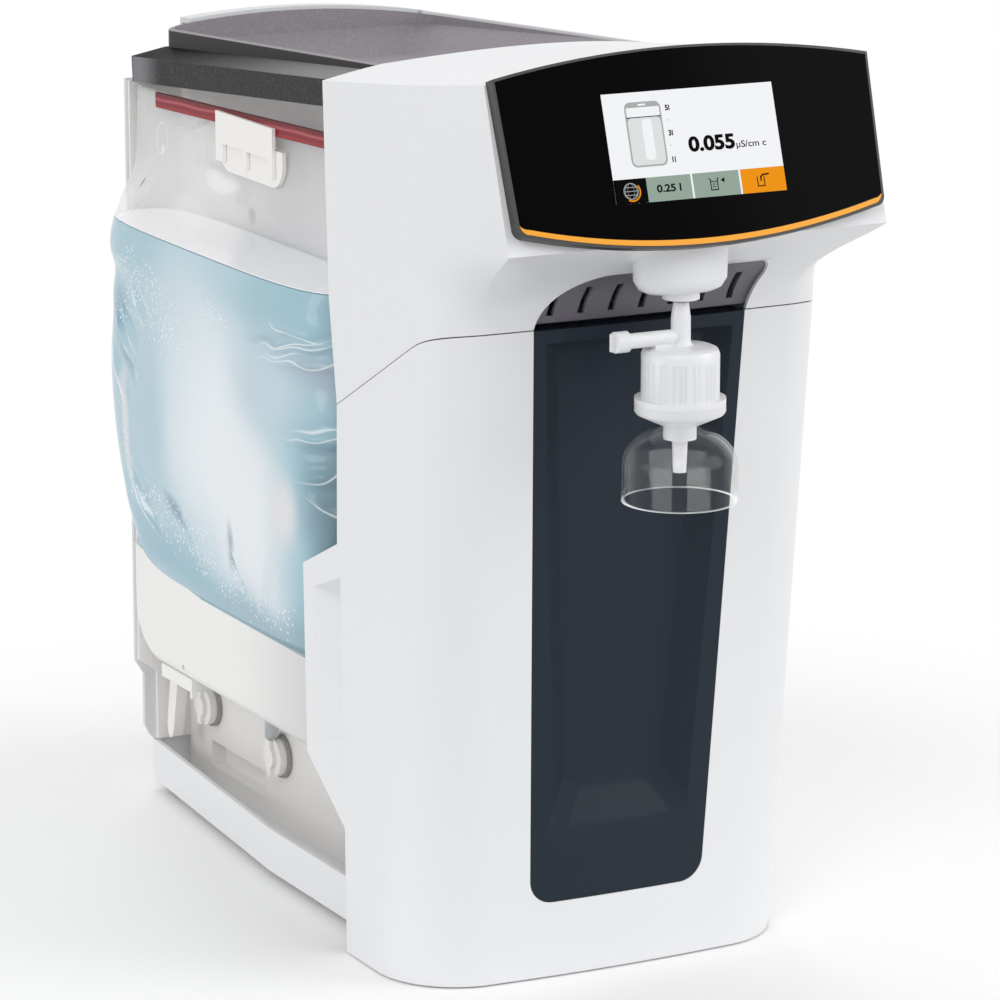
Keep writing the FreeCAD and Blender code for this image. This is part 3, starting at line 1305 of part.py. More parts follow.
# ---------------------------------------------------------------- chassis and treatment stages
def build_inside():
    side = -d.bay_depth + d.bay_wall
    inner = side + d.chassis_thickness
    floor = d.base_foot + d.base_floor
    front = cover_rear_y + 4.0
    back = rear_y - d.rear_wall
    top_front = lid_height - lid_drop * front - 0.05
    top_back = lid_height - lid_drop * back - 0.05
    port = Part.makeCylinder(5.0, 30, Vector(side - 10, port_y, port_height), Vector(1, 0, 0))
    holes = [Part.makeCylinder(6.1, 20, Vector(side - 10, y, z), Vector(1, 0, 0))
             for y, z in COUPLINGS]
    slot = Part.makeBox(20, 78, 19, Vector(side - 5, rear_y - 111, 18))
    plate = prism([(front, floor), (back, floor), (back, top_back), (front, top_front)], side,
                  d.chassis_thickness, "X")
    node(shaped("chassis_plate", plate.cut([port, slot] + holes)))

    # purification cartridge under its manifold head
    radius = d.cartridge_radius
    x, y = 56.0, rear_y - 192.0
    low = rod("cartridge_barrel", radius, d.cartridge_height, x, y, floor)
    cap = rod("cartridge_cap", radius - 8, Size(8.0, "8"), x, y, floor + d.cartridge_height)
    node(fused("purification_cartridge", low, cap))
    head_foot = floor + d.cartridge_height + 8.0
    block_head = block("head_block", (x - 24.0, x + 24.0), (y - 24.0, y + 24.0),
                       (head_foot, head_foot + 26.0))
    head_arm = block("head_arm", (inner, x - 20.0), (y - 10.0, y + 10.0),
                     (head_foot + 6.0, head_foot + 18.0))
    node(fused("manifold_head", block_head, head_arm))

    # reverse osmosis module with its end caps
    radius = d.module_radius
    x, y = 12.0, rear_y - 102.0
    tube = rod("module_tube", radius, d.module_height, x, y, floor)
    top_cap = rod("module_top", radius + 3.0, Size(18.0, "18"), x, y, floor + d.module_height - 10)
    node(fused("osmosis_module", tube, top_cap))

    # pump: motor lying along Y with the head at its front
    radius = d.pump_radius
    x, y, z = 0.0, cover_rear_y + 6.0, floor + d.pump_radius + 4.0
    motor = rod("motor_can", radius, d.pump_length, x, y, z, "Y")
    sole = block("motor_sole", (x - 20.0, x + 20.0), (y + 6.0, y + d.pump_length - 6.0), (floor, z))
    node(fused("pump_motor", motor, sole))
    head = block("pump_head_block", (x - 24.0, x + 24.0), (y - 32.0, y - 0.0), (floor, z + 22.0))
    node(rounded("pump_head", head, 3.0, lambda edge: abs(edge.Length - 32.0) < 0.1))

    # lamp housing, held to the plate by its foot
    radius = d.lamp_radius
    x, y, z = inner + d.lamp_radius + 6.0, rear_y - 152.0, 110.0
    tube = rod("lamp_tube", radius, d.lamp_height, x, y, z)
    foot_low = block("lamp_foot_low", (inner, x), (y - 8.0, y + 8.0), (z + 20.0, z + 32.0))
    foot_high = block("lamp_foot_high", (inner, x), (y - 8.0, y + 8.0),
                      (z + d.lamp_height - 32.0, z + d.lamp_height - 20.0))
    end = rod("lamp_end", radius - 5, Size(12.0, "12"), x, y, z + d.lamp_height)
    node(fused("lamp_housing", tube, foot_low, foot_high, end))

    # dispense valve and conductivity cell, on the plate near the outlet
    y, z = cover_rear_y + 28.0, shelf_height
    body = block("valve_body", (inner, inner + 26.0), (y - 14.0, y + 14.0), (z, z + 24.0))
    coil = rod("valve_coil", Size(11.0, "11"), Size(30.0, "30"), inner + 13.0, y, z + 24.0)
    node(fused("dispense_valve", body, coil))
    cell_y = y
    cell = rod("cell_tube", Size(9.0, "9"), Size(46.0, "46"), inner + 12.0, cell_y,
               shelf_height - 80.0)
    cell_foot = block("cell_foot", (inner, inner + 12.0), (cell_y - 6.0, cell_y + 6.0),
                      (shelf_height - 68.0, shelf_height - 46.0))
    node(fused("conductivity_cell", cell, cell_foot))

    # electronics
    supply_y = rear_y - 122.0
    node(block("power_supply", (inner, inner + 42.0), (supply_y, rear_y - 20.0),
               (shelf_height, shelf_height + 82.0)))
    board_y = cover_rear_y + 46.0
    board_z = shelf_height + 15.0
    board_length = supply_y - 20.0 - board_y
    board = block("board_sheet", (inner + 8.0, inner + 9.6), (board_y, board_y + board_length),
                  (board_z, board_z + 80.0))
    posts = []
    far_post = board_length - 6.0
    for number, (along, up) in enumerate(((6.0, 5.0), (far_post, 5.0), (6.0, 75.0),
                                          (far_post, 75.0))):
        posts.append(rod(f"post_{number}", Size(3.0, "3"), Size(8.0, "8"), inner, board_y + along,
                         board_z + up, "X"))
    node(board)
    board.Label = "main_board"
    node(group("board_posts", *posts))

    # hoses between the stages: cell to valve, valve to spigot, module to manifold head
    bend_hose = []
    valve_x = inner + 13.0
    bend_hose.append(hose_run("cell_hose", [(inner + 12.0, cell_y, shelf_height - 33.8),
                                             (inner + 12.0, cell_y, shelf_height - 0.2)], 3.0))
    outlet_z = stem_top - 12.0 + 47.5
    bend_hose.append(hose_run("outlet_hose", [
        (0.0, tap_y, outlet_z), (0.0, tap_y, outlet_z + 18.0), (0.0, tap_y + 34.0, outlet_z + 18.0),
        (0.0, cover_rear_y - 14.0, shelf_height + 62.0),
        (valve_x, cover_rear_y - 2.0, shelf_height + 12.0),
        (valve_x, cell_y - 14.2, shelf_height + 12.0)], 3.0))
    module_top = floor + d.module_height + 8.2
    bend_hose.append(hose_run("module_hose", [
        (12.0, rear_y - 102.0, module_top), (12.0, rear_y - 102.0, module_top + 27.8),
        (56.0, rear_y - 122.0, module_top + 27.8), (56.0, rear_y - 142.0, head_foot + 13.0),
        (56.0, rear_y - 167.8, head_foot + 13.0)], 3.0))
    node(group("internal_hoses", *bend_hose))


def hose_run(name, points, radius):
    """A hose of straight runs joined by tangent arcs."""
    spots = [Vector(*(float(value) for value in point)) for point in points]
    edges = []
    last = spots[0]
    for before, here, after in zip(spots, spots[1:], spots[2:]):
        back = (before - here)
        ahead = (after - here)
        angle = back.getAngle(ahead)
        reach = 0.45 * min(back.Length, ahead.Length)
        back.normalize()
        ahead.normalize()
        enter = here + back * reach
        leave = here + ahead * reach
        half = (back + ahead)
        half.normalize()
        bend = reach * math.tan(angle / 2)
        centre = here + half * (reach / math.cos(angle / 2))
        middle = centre - half * bend
        edges.append(Part.makeLine(last, enter))
        edges.append(Part.Arc(enter, middle, leave).toShape())
        last = leave
    edges.append(Part.makeLine(last, spots[-1]))
    wire = Part.Wire(edges)
    way = spots[1] - spots[0]
    way.normalize()
    ring = Part.Wire([Part.makeCircle(radius, spots[0], way)])
    tube = wire.makePipeShell([ring], True, True)
    return shaped(name, tube)


# ---------------------------------------------------------------- rear connections and screws
def build_connections():
    back = rear_y
    thick = d.rear_wall
    # mains inlet and the switch above it
    shell = Part.makeBox(45.6, 26, 33.6, Vector(20.2, back - 26, 60.2))
    shell = shell.fuse(Part.makeBox(52, 1.9, 40, Vector(17, back - thick - 2, 57)))
    shell = shell.cut(Part.makeBox(30, 20, 22, Vector(28, back - 18, 66)))
    for x in (36.0, 43.0, 50.0):
        shell = shell.fuse(Part.makeBox(2, 14, 5, Vector(x - 1, back - 20, 74)))
    node(shaped("mains_inlet", shell))
    frame = Part.makeBox(29.6, 18, 21.6, Vector(24.2, back - 18, 110.2))
    frame = frame.fuse(Part.makeBox(36, 1.9, 28, Vector(21, back - thick - 2, 107)))
    frame = frame.cut(Part.makeBox(24, 12, 16, Vector(27, back - 12, 113)))
    pivot = Vector(39.0, back - 8.0, 121.0)
    along = Vector(1, 0, 0)
    axle_radius = 1.5
    frame = frame.cut(Part.makeCylinder(axle_radius + 0.05, 27.0, pivot - along * 13.5, along))
    node(shaped("switch_frame", frame))
    rocker = prism([(back - 10.5, 114.8), (back - 1.4, 114.6), (back - 3.0, 121.0),
                    (back - 1.4, 127.4), (back - 10.5, 127.2)], 28.9, 20.2, "X")
    rocker = rocker.fuse(Part.makeCylinder(axle_radius, 26.8, pivot - along * 13.4, along))
    rocker.rotate(pivot, along, -8.0)
    node(shaped("switch_rocker", rocker))
    # hose fittings for feed water and drain
    out = Vector(0, 1, 0)
    for name, x in (("feed_fitting", FEED_X), ("drain_fitting", DRAIN_X)):
        body = Part.makeCylinder(FITTING_RADIUS, 24, Vector(x, back - 24, FITTING_Z), out)
        flange = Part.makeCylinder(FITTING_RADIUS + 3, 3, Vector(x, back - thick - 3, FITTING_Z),
                                   out)
        mouth = rear_hole(x, FITTING_Z, d.hose_mouth_radius, 14.0)
        node(shaped(name, body.fuse(flange).cut(mouth)))
    # screws that hold the rear panel
    screws = []
    for number, (x, z) in enumerate(SCREW_SPOTS):
        head = Part.makeCylinder(SCREW_RADIUS, 1.6, Vector(x, back - SCREW_SINK, z), out)
        socket = rear_hole(x, z, 1.2, 0.8)
        screws.append(shaped(f"screw_{number}", head.cut(socket)))
    node(group("panel_screws", *screws))


build_front_covers()
build_outlet()
build_filter()
build_display()
build_base()
build_right_and_rear()
build_lid()
build_bay()
build_couplings()
build_inside()
build_connections()
doc.recompute()

# ---------------------------------------------------------------- checks and export
for item in doc.Objects:
    faults = {"Invalid", "Error"} & set(item.State)
    if faults:
        raise RuntimeError(f"{item.Label}: {faults}")
os.makedirs("parts", exist_ok=True)
for item in nodes:
    shape = item.Shape
    if shape.isNull() or not shape.isValid():
        raise RuntimeError(f"{item.Label}: null or invalid shape")
    shape.exportStep(f"parts/{item.Label}.step")
    print(f"{item.Label}: {len(shape.Solids)} solids, {shape.Volume:.0f} mm3")
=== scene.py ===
# %% [markdown]
# # A benchtop water system, dressed in Blender
# The machine's solids come from a CAD file and are loaded as a fixed frame in metres: the front faces
# -Y, up is +Z, and zero is on the bench in the middle of the footprint. This lesson gives those solids
# their finishes, puts a soft, filled bag in place of the bag's plain solid and draws the display's
# picture. Nothing here moves a CAD solid, because the machine's moving parts are tested with them.

# %% Load the frame
import bpy, bmesh, math
from mathutils import Matrix, Vector


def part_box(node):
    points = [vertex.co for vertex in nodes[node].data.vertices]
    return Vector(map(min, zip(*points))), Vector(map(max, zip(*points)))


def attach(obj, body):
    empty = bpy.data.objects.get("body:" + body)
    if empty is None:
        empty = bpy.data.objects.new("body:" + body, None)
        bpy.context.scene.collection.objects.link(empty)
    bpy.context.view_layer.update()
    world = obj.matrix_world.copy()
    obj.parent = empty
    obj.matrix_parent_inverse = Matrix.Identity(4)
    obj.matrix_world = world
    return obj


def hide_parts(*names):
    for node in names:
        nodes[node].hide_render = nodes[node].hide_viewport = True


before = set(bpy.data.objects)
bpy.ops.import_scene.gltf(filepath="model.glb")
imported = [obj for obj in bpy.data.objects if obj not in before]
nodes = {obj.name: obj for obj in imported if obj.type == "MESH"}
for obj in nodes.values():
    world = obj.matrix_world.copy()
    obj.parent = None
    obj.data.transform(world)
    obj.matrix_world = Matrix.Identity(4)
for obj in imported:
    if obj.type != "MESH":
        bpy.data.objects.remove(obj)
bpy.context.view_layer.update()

# %% [markdown]
# ## Helpers
# A colour is written as a hex value, as on a paint chart, and one function turns it into the linear
# numbers that shaders work with. The next one adds a shader node with its settings and links, and two
# short ones stand for the nodes used most, so that each material below reads as a short recipe. Lengths
# are written in millimetres.

# %% Colour and node helpers
MM = 0.001


def colour(chart):
    """A hex colour from a paint chart as linear red, green, blue and alpha."""
    values = [int(chart[i:i + 2], 16) / 255 for i in (1, 3, 5)]
    linear = [v / 12.92 if v <= 0.04045 else ((v + 0.055) / 1.055) ** 2.4 for v in values]
    return (*linear, 1.0)


def add(tree, kind, links=(), inputs=(), **settings):
    """Adds one node. inputs sets sockets, links joins outputs of other nodes to sockets."""
    node = tree.nodes.new(kind)
    for name, value in settings.items():
        setattr(node, name, value)
    for socket, value in dict(inputs).items():
        node.inputs[socket].default_value = value
    for socket, source in dict(links).items():
        tree.links.new(source, node.inputs[socket])
    return node


def maths(tree, operation, *terms):
    """The output of one Math node. Each term is a number or another node's output."""
    links = {i: term for i, term in enumerate(terms) if isinstance(term, bpy.types.NodeSocket)}
    numbers = {i: term for i, term in enumerate(terms) if i not in links}
    return add(tree, "ShaderNodeMath", links, numbers, operation=operation).outputs[0]


def own_place(tree):
    """Each point's place in the object's own coordinates."""
    return add(tree, "ShaderNodeTexCoord").outputs["Object"]


def new_material(name, chart, roughness, **sockets):
    """A material with one principled shader; the recipe goes on from its tree."""
    material = bpy.data.materials.new(name)
    material.use_nodes = True
    shader = material.node_tree.nodes["Principled BSDF"]
    shader.inputs["Base Color"].default_value = colour(chart)
    shader.inputs["Roughness"].default_value = roughness
    for socket, value in sockets.items():
        shader.inputs[socket.replace("_", " ")].default_value = value
    return material, material.node_tree, shader


print("white on the chart is", [round(v, 3) for v in colour("#FFFFFF")])

# %% [markdown]
# ## The housing
# The covers are injection-moulded ABS in a cool white. Moulded ABS has an even colour and a satin skin,
# with a very fine ripple that comes from the tool and breaks up long highlights. The ripple is a noise
# bump; its grain is drawn at 3 mm, coarser than the real one, so that it shows at all. Three helpers
# lay a second colour over part of a piece, along its own coordinates. The cradle below the bag uses
# them: it darkens towards the front, where the cover shades it.

# %% White moulded ABS
def emboss(tree, shader, pattern, height, strength=1.0):
    """A bump that follows a pattern. height is in millimetres."""
    bump = add(tree, "ShaderNodeBump", {"Height": pattern},
               {"Strength": strength, "Distance": height * MM})
    tree.links.new(bump.outputs["Normal"], shader.inputs["Normal"])


def ripple(tree, shader, grain, height, detail=2.0):
    """A bump of soft noise. grain and height are in millimetres."""
    noise = add(tree, "ShaderNodeTexNoise", {"Vector": own_place(tree)},
                {"Scale": 1 / (grain * MM), "Detail": detail, "Roughness": 0.5})
    emboss(tree, shader, noise.outputs["Fac"], height)


def span_mask(tree, axis, low, high):
    """A mask along one axis of the object's own coordinates: 0 at low, 1 at high, in millimetres."""
    split = add(tree, "ShaderNodeSeparateXYZ", {"Vector": own_place(tree)})
    return add(tree, "ShaderNodeMapRange", {"Value": split.outputs[axis]},
               {"From Min": low * MM, "From Max": high * MM},
               interpolation_type="SMOOTHSTEP").outputs["Result"]


def tint(tree, below, chart, mask):
    """Lays a colour over another through a mask. The one below is a colour or a node's output."""
    mixed = add(tree, "ShaderNodeMix", {"Factor": mask}, {"B": colour(chart)}, data_type="RGBA")
    if isinstance(below, bpy.types.NodeSocket):
        tree.links.new(below, mixed.inputs["A"])
    else:
        mixed.inputs["A"].default_value = below
    return mixed.outputs["Result"]


def shaded(made, chart, masks):
    """Lays a colour over a material's own, where all the masks meet."""
    tree = made.node_tree
    base = tree.nodes["Principled BSDF"].inputs["Base Color"]
    below = base.links[0].from_socket if base.is_linked else tuple(base.default_value)
    both = masks[0]
    for mask in masks[1:]:
        both = maths(tree, "MULTIPLY", both, mask)
    tree.links.new(tint(tree, below, chart, both), base)


white_abs, tree, shader = new_material("moulded_abs_white", "#EBECEE", 0.34, IOR=1.54)
ripple(tree, shader, grain=3.0, height=0.006)

inner_abs, tree, shader = new_material("moulded_abs_inner_white", "#F7F5F2", 0.38, IOR=1.54)
ripple(tree, shader, grain=4.0, height=0.01)

cradle_abs, tree, shader = new_material("moulded_abs_cradle", "#F4F3F1", 0.38, IOR=1.54)
ripple(tree, shader, grain=4.0, height=0.01)
shaded(cradle_abs, "#D2D2D3", [span_mask(tree, "Y", 110, -40)])

back_abs, tree, shader = new_material("moulded_abs_back", "#DCDEE0", 0.45, IOR=1.54)
ripple(tree, shader, grain=1.5, height=0.02)
print("white mouldings:", [made.name for made in (white_abs, inner_abs, cradle_abs, back_abs)])

# %% [markdown]
# ## Dark mouldings
# The front insert and the hood are moulded in dark grey ABS with an eroded, matt skin, which gives the
# eye a soft, powdery surface with no sharp reflection. The lid's skin is coarser: a spark-eroded grain
# that sparkles with tiny light specks. A Voronoi pattern gives those specks. On the lid, a painted
# reflection makes the flange nearly black at the rear and paler at the front, and a painted highlight
# brightens the side towards its rounded rear corner. The dish's outer wall is as dark as the lid, while
# its inside is a paler grey.

# %% Eroded dark ABS
insert_abs, tree, shader = new_material("eroded_abs_slate", "#242C36", 0.42, IOR=1.5,
                                        Specular_IOR_Level=0.16)
ripple(tree, shader, grain=0.9, height=0.02, detail=4.0)

hood_abs, tree, shader = new_material("eroded_abs_hood", "#65626A", 0.42, IOR=1.5)
ripple(tree, shader, grain=0.9, height=0.02, detail=4.0)


def grained(name, dark, light, roughness, grain, sheen):
    """Spark-eroded plastic in two close colours: grain in millimetres, sheen is how much it mirrors."""
    made, tree, shader = new_material(name, dark, roughness, IOR=1.5, Specular_IOR_Level=sheen)
    cells = add(tree, "ShaderNodeTexVoronoi", {"Vector": own_place(tree)},
                {"Scale": 1 / (grain * MM), "Randomness": 1.0})
    speck = add(tree, "ShaderNodeMapRange", {"Value": cells.outputs["Color"]},
                {"From Min": 0.55, "From Max": 1.0})
    skin = tint(tree, colour(dark), light, speck.outputs["Result"])
    tree.links.new(skin, shader.inputs["Base Color"])
    emboss(tree, shader, cells.outputs["Distance"], 0.05, strength=0.6)
    return made


lid_abs = grained("eroded_abs_lid", "#424243", "#565657", 0.5, grain=1.2, sheen=0.02)
tree = lid_abs.node_tree
side_skin, flange_skin = -97.0, -96.0
flange = span_mask(tree, "X", side_skin, flange_skin)
side = span_mask(tree, "X", flange_skin, side_skin)
# Painted reflection: the flange is nearly black towards the rear and paler towards the front; a painted
# highlight lightens the side near its rounded rear corner.
shaded(lid_abs, "#131213", [flange, span_mask(tree, "Y", 110, 215)])
shaded(lid_abs, "#8A8B8C", [flange, span_mask(tree, "Y", 150, -20)])
shaded(lid_abs, "#85878A", [side, span_mask(tree, "Y", 190, 222)])

dish_abs = grained("eroded_abs_dish", "#908B91", "#9E999F", 0.55, grain=1.1, sheen=0.2)
inner_skin, outer_skin = -77.0, -77.6
shaded(dish_abs, "#343233", [span_mask(dish_abs.node_tree, "X", inner_skin, outer_skin)])
print("lid's side skin at", side_skin, "mm, dish's outer wall at", outer_skin, "mm")

# %% [markdown]
# ## Display materials
# The display's front is a sheet of glass printed black on its rear, so the colour lies under a clear
# polished skin with an anti-glare coat: a black base with a low roughness and a weak reflection. The
# strip below it is orange ABS. The bezel is a satin black moulding.

# %% Printed glass, bezel and strip
printed_glass, tree, shader = new_material("back_printed_glass", "#060607", 0.10, IOR=1.52,
                                           Specular_IOR_Level=0.02)
bezel_abs, tree, shader = new_material("moulded_abs_black", "#2B2B2C", 0.36, IOR=1.5)
ripple(tree, shader, grain=1.0, height=0.01)
orange_abs, tree, shader = new_material("moulded_abs_orange", "#F7A400", 0.38, IOR=1.5)
ripple(tree, shader, grain=1.5, height=0.005)
print("display:", [made.name for made in (printed_glass, bezel_abs, orange_abs)])

# %% [markdown]
# ## Filter, seals and metal
# The final filter is natural polypropylene: milky white, slightly see-through, so a little light goes
# into it and spreads. Subsurface scattering gives that. The capsule's shell lets its pleated membrane
# show as faint upright lines: a noise pattern stretched fifty times in height, from the shell's
# flange, 3 mm high, up to the membrane's top. The seals are EPDM rubber, matt and nearly black or
# grey. Inside are stainless steel, zinc-plated sheet, green circuit boards and silicone hoses.

# %% Polypropylene, rubber and metals
def upright_lines(tree, grain, stretch, detail):
    """Noise drawn out along Z: lines of the given grain in millimetres, and stretch times as long."""
    drawn = add(tree, "ShaderNodeMapping", {"Vector": own_place(tree)},
                {"Scale": (1.0, 1.0, 1 / stretch)})
    return add(tree, "ShaderNodeTexNoise", {"Vector": drawn.outputs["Vector"]},
               {"Scale": 1 / (grain * MM), "Detail": detail}).outputs["Fac"]


def milky(name, chart, depth):
    """Natural polypropylene; depth says how much of the light goes into it."""
    made, tree, shader = new_material(name, chart, 0.30, IOR=1.49, Subsurface_Weight=depth,
                                      Subsurface_Scale=2 * MM, Subsurface_Radius=(1.0, 1.0, 1.0))
    ripple(tree, shader, grain=2.0, height=0.01)
    return made


milky_pp = milky("natural_polypropylene", "#E8E9EB", 0.25)
capsule_pp = milky("capsule_polypropylene", "#EDEEF0", 0.2)
tree = capsule_pp.node_tree
pleat = add(tree, "ShaderNodeMapRange", {"Value": upright_lines(tree, 1.6, 50, 1.0)},
            {"From Min": 0.35, "From Max": 0.65, "To Max": 0.5})
flange_high = 3.0
pleats_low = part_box("capsule_shell")[0][2] / MM + flange_high
pleats_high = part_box("capsule_membrane")[1][2] / MM
shaded(capsule_pp, "#D3D4D7", [pleat.outputs["Result"],
                               span_mask(tree, "Z", pleats_low, pleats_low + 1),
                               span_mask(tree, "Z", pleats_high + 1, pleats_high)])
print("pleats from", round(pleats_low, 1), "to", round(pleats_high, 1), "mm")

felt, tree, shader = new_material("pleated_membrane", "#EFEFEC", 0.9)
ripple(tree, shader, grain=0.8, height=0.1, detail=5.0)
black_rubber, tree, shader = new_material("epdm_rubber_black", "#1B1B1B", 0.7)
ripple(tree, shader, grain=0.6, height=0.03, detail=5.0)
grey_rubber, tree, shader = new_material("epdm_rubber_grey", "#A6A39F", 0.62)
ripple(tree, shader, grain=0.8, height=0.03, detail=5.0)


def brushed(name, chart, roughness, grain):
    """Metal with fine lines along Z; grain is the line spacing in millimetres."""
    made, tree, shader = new_material(name, chart, roughness, Metallic=1.0)
    emboss(tree, shader, upright_lines(tree, grain, 25, 6.0), 0.02, strength=0.5)
    return made


steel = brushed("stainless_steel_brushed", "#C4C6C8", 0.32, grain=0.6)
zinc_sheet = brushed("zinc_plated_sheet", "#B4B8BC", 0.42, grain=1.4)
board_green, tree, shader = new_material("solder_mask_green", "#1F5C3A", 0.35)
ripple(tree, shader, grain=2.5, height=0.05)
hose_silicone, tree, shader = new_material("clear_silicone_hose", "#DDE2E4", 0.3,
                                           Transmission_Weight=0.5, IOR=1.41)
ripple(tree, shader, grain=3.0, height=0.02)

# %% [markdown]
# ## The bell's clear plastic
# The filling bell is clear styrene-acrylonitrile: colourless and glossy. Seen square on it almost
# vanishes. Seen along the wall it shows, because more light is reflected there: its two sides and the
# bead of its rim draw bright lines. So the material is a mix of a plain transparent shader and a glossy
# one, and the fifth power of the viewing angle decides how much of each there is. The lowest half
# millimetre also glows a little, as light that runs down inside the wall leaves at the cut edge.

# %% Clear SAN
clear_san = bpy.data.materials.new("clear_san")
clear_san.use_nodes = True
tree = clear_san.node_tree
tree.nodes.clear()
edge_on = add(tree, "ShaderNodeLayerWeight", inputs={"Blend": 0.5})
steep = maths(tree, "POWER", edge_on.outputs["Facing"], 5.0)
shine = add(tree, "ShaderNodeMapRange", {"Value": steep}, {"To Min": 0.009, "To Max": 0.95})
through = add(tree, "ShaderNodeBsdfTransparent", inputs={"Color": colour("#FFFFFF")})
gloss = add(tree, "ShaderNodeBsdfGlossy", inputs={"Color": colour("#FFFFFF"), "Roughness": 0.04})
wall = add(tree, "ShaderNodeMixShader", {0: shine.outputs["Result"], 1: through.outputs["BSDF"],
                                         2: gloss.outputs["BSDF"]})
bead = add(tree, "ShaderNodeBsdfTranslucent", inputs={"Color": colour("#FFFFFF")})
bell_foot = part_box("filling_bell")[0][2] / MM
low_edge = maths(tree, "MULTIPLY", span_mask(tree, "Z", bell_foot + 0.5, bell_foot + 0.3), 0.6)
rimmed = add(tree, "ShaderNodeMixShader", {0: low_edge, 1: wall.outputs["Shader"],
                                           2: bead.outputs["BSDF"]})
add(tree, "ShaderNodeOutputMaterial", {"Surface": rimmed.outputs["Shader"]})
print("clear:", clear_san.name, "with its bead from", round(bell_foot, 1), "mm")

# %% [markdown]
# ## Finishes for the CAD solids
# Most solids keep their CAD shape, and each gets its material. A moulded edge is never quite sharp: it
# has a small round that shows as a thin highlight. The loaded triangles are loose, so a Weld modifier
# joins them first; on the large pieces a Bevel modifier then rounds what is sharper than 38 degrees.
# On the small ones an Edge Split keeps those edges crisp.

# %% Dress the CAD solids
finishes = {
    white_abs: ["front_lower_cover", "front_upper_cover", "right_cover", "base_tray", "nozzle_ring"],
    inner_abs: ["bay_liner", "bag_clip", "bag_hanger", "lock_lever", "bag_inlet_coupling",
                "bag_outlet_coupling"],
    cradle_abs: ["bag_cradle"],
    back_abs: ["rear_panel"],
    insert_abs: ["front_insert"],
    hood_abs: ["hood_louvre", "manifold_head", "feed_fitting", "drain_fitting"],
    lid_abs: ["lid_frame"],
    dish_abs: ["lid_dish"],
    printed_glass: ["display_glass"],
    bezel_abs: ["display_bezel", "mains_inlet", "switch_frame", "switch_rocker", "pump_head",
                "dispense_valve"],
    orange_abs: ["accent_strip"],
    capsule_pp: ["capsule_shell"],
    milky_pp: ["capsule_base", "vent_screw", "purification_cartridge", "osmosis_module"],
    felt: ["capsule_membrane"],
    black_rubber: ["nozzle_seal", "feet"],
    grey_rubber: ["coupling_seals"],
    steel: ["dispense_spigot", "lever_pin", "conductivity_cell", "lamp_housing", "board_posts",
            "panel_screws"],
    zinc_sheet: ["chassis_plate", "pump_motor", "power_supply", "display_screen"],
    board_green: ["main_board", "display_board"],
    hose_silicone: ["internal_hoses", "bag_hoses"],
    clear_san: ["filling_bell"],
}
rounds = {"front_lower_cover": 0.8, "front_upper_cover": 0.8, "right_cover": 0.8, "base_tray": 0.8,
          "front_insert": 0.8, "lid_frame": 0.7, "lid_dish": 0.8, "hood_louvre": 0.5,
          "display_bezel": 0.4, "display_glass": 0.4, "rear_panel": 0.8, "bay_liner": 0.5}
sharp = math.radians(38)


def dress(piece, finish, edge):
    """Gives a solid its material. edge is the round of its edges in millimetres, or 0."""
    mesh = piece.data
    mesh.materials.clear()
    mesh.materials.append(finish)
    mesh.polygons.foreach_set("use_smooth", [True] * len(mesh.polygons))
    if "custom_normal" in mesh.attributes:
        mesh.attributes.remove(mesh.attributes["custom_normal"])
    weld = piece.modifiers.new("weld", "WELD")
    weld.merge_threshold = 0.005 * MM
    if edge:
        soft = piece.modifiers.new("soft edges", "BEVEL")
        soft.width = edge * MM
        soft.segments = 2
        soft.limit_method = "ANGLE"
        soft.angle_limit = sharp
        soft.harden_normals = True
        soft.use_clamp_overlap = True
    else:
        split = piece.modifiers.new("crisp edges", "EDGE_SPLIT")
        split.split_angle = sharp


for finish, names in finishes.items():
    for name in names:
        dress(nodes[name], finish, rounds.get(name, 0))
left_over = sorted(set(nodes) - {name for names in finishes.values() for name in names})
print("solids that get their own piece below:", left_over)

# %% [markdown]
# ## Making pieces
# Each new piece starts as a bmesh, the editable mesh of Blender's Python side. One helper turns it into
# a plain mesh, and the next into an object: it applies the place to the mesh itself, so that the object
# stays at the origin, gives it its material, and lets it ride on a body, so that it moves with it.

# %% Keep a piece
def settled(mesh, name):
    """A plain mesh made from a bmesh, which is freed."""
    data = bpy.data.meshes.new(name)
    mesh.to_mesh(data)
    mesh.free()
    return data


def keep(mesh, name, finish, body, place=Matrix(), smooth=True):
    """Turns a bmesh into a piece that rides on a body."""
    bmesh.ops.transform(mesh, matrix=place, verts=mesh.verts)
    if smooth:
        for face in mesh.faces:
            face.smooth = True
    piece = bpy.data.objects.new(name, settled(mesh, name))
    piece.data.materials.append(finish)
    bpy.context.collection.objects.link(piece)
    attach(piece, body)
    return piece


# %% [markdown]
# ## The lit screen
# Behind the printed glass sits a 4.3 inch display module. Its picture is light, not paint, so its
# materials emit their colour and mirror as little as the coated glass. The glass is black all over in
# this model, so the picture lies a tenth of a millimetre in front of it. It is drawn flat, in
# millimetres from the middle of the screen, in layers a few hundredths of a millimetre apart.

# %% Screen plane and lit colours
tilt = math.radians(18.1)
screen_middle = Vector((0, -233.8, 443.6)) * MM
screen_plane = (Matrix.Translation(screen_middle)
                @ Matrix.Rotation(math.radians(90) - tilt, 4, "X") @ Matrix.Scale(MM, 4))
first_layer, layer_step = 0.12, 0.05


def layer(level):
    """The screen's plane, raised by a number of thin layers."""
    return screen_plane @ Matrix.Translation((0, 0, first_layer + layer_step * level))


def lit(name, chart):
    """A material that glows in its colour."""
    made, tree, shader = new_material(name, "#000000", 0.12, IOR=1.5, Specular_IOR_Level=0.02)
    shader.inputs["Emission Color"].default_value = colour(chart)
    shader.inputs["Emission Strength"].default_value = 1.0
    return made


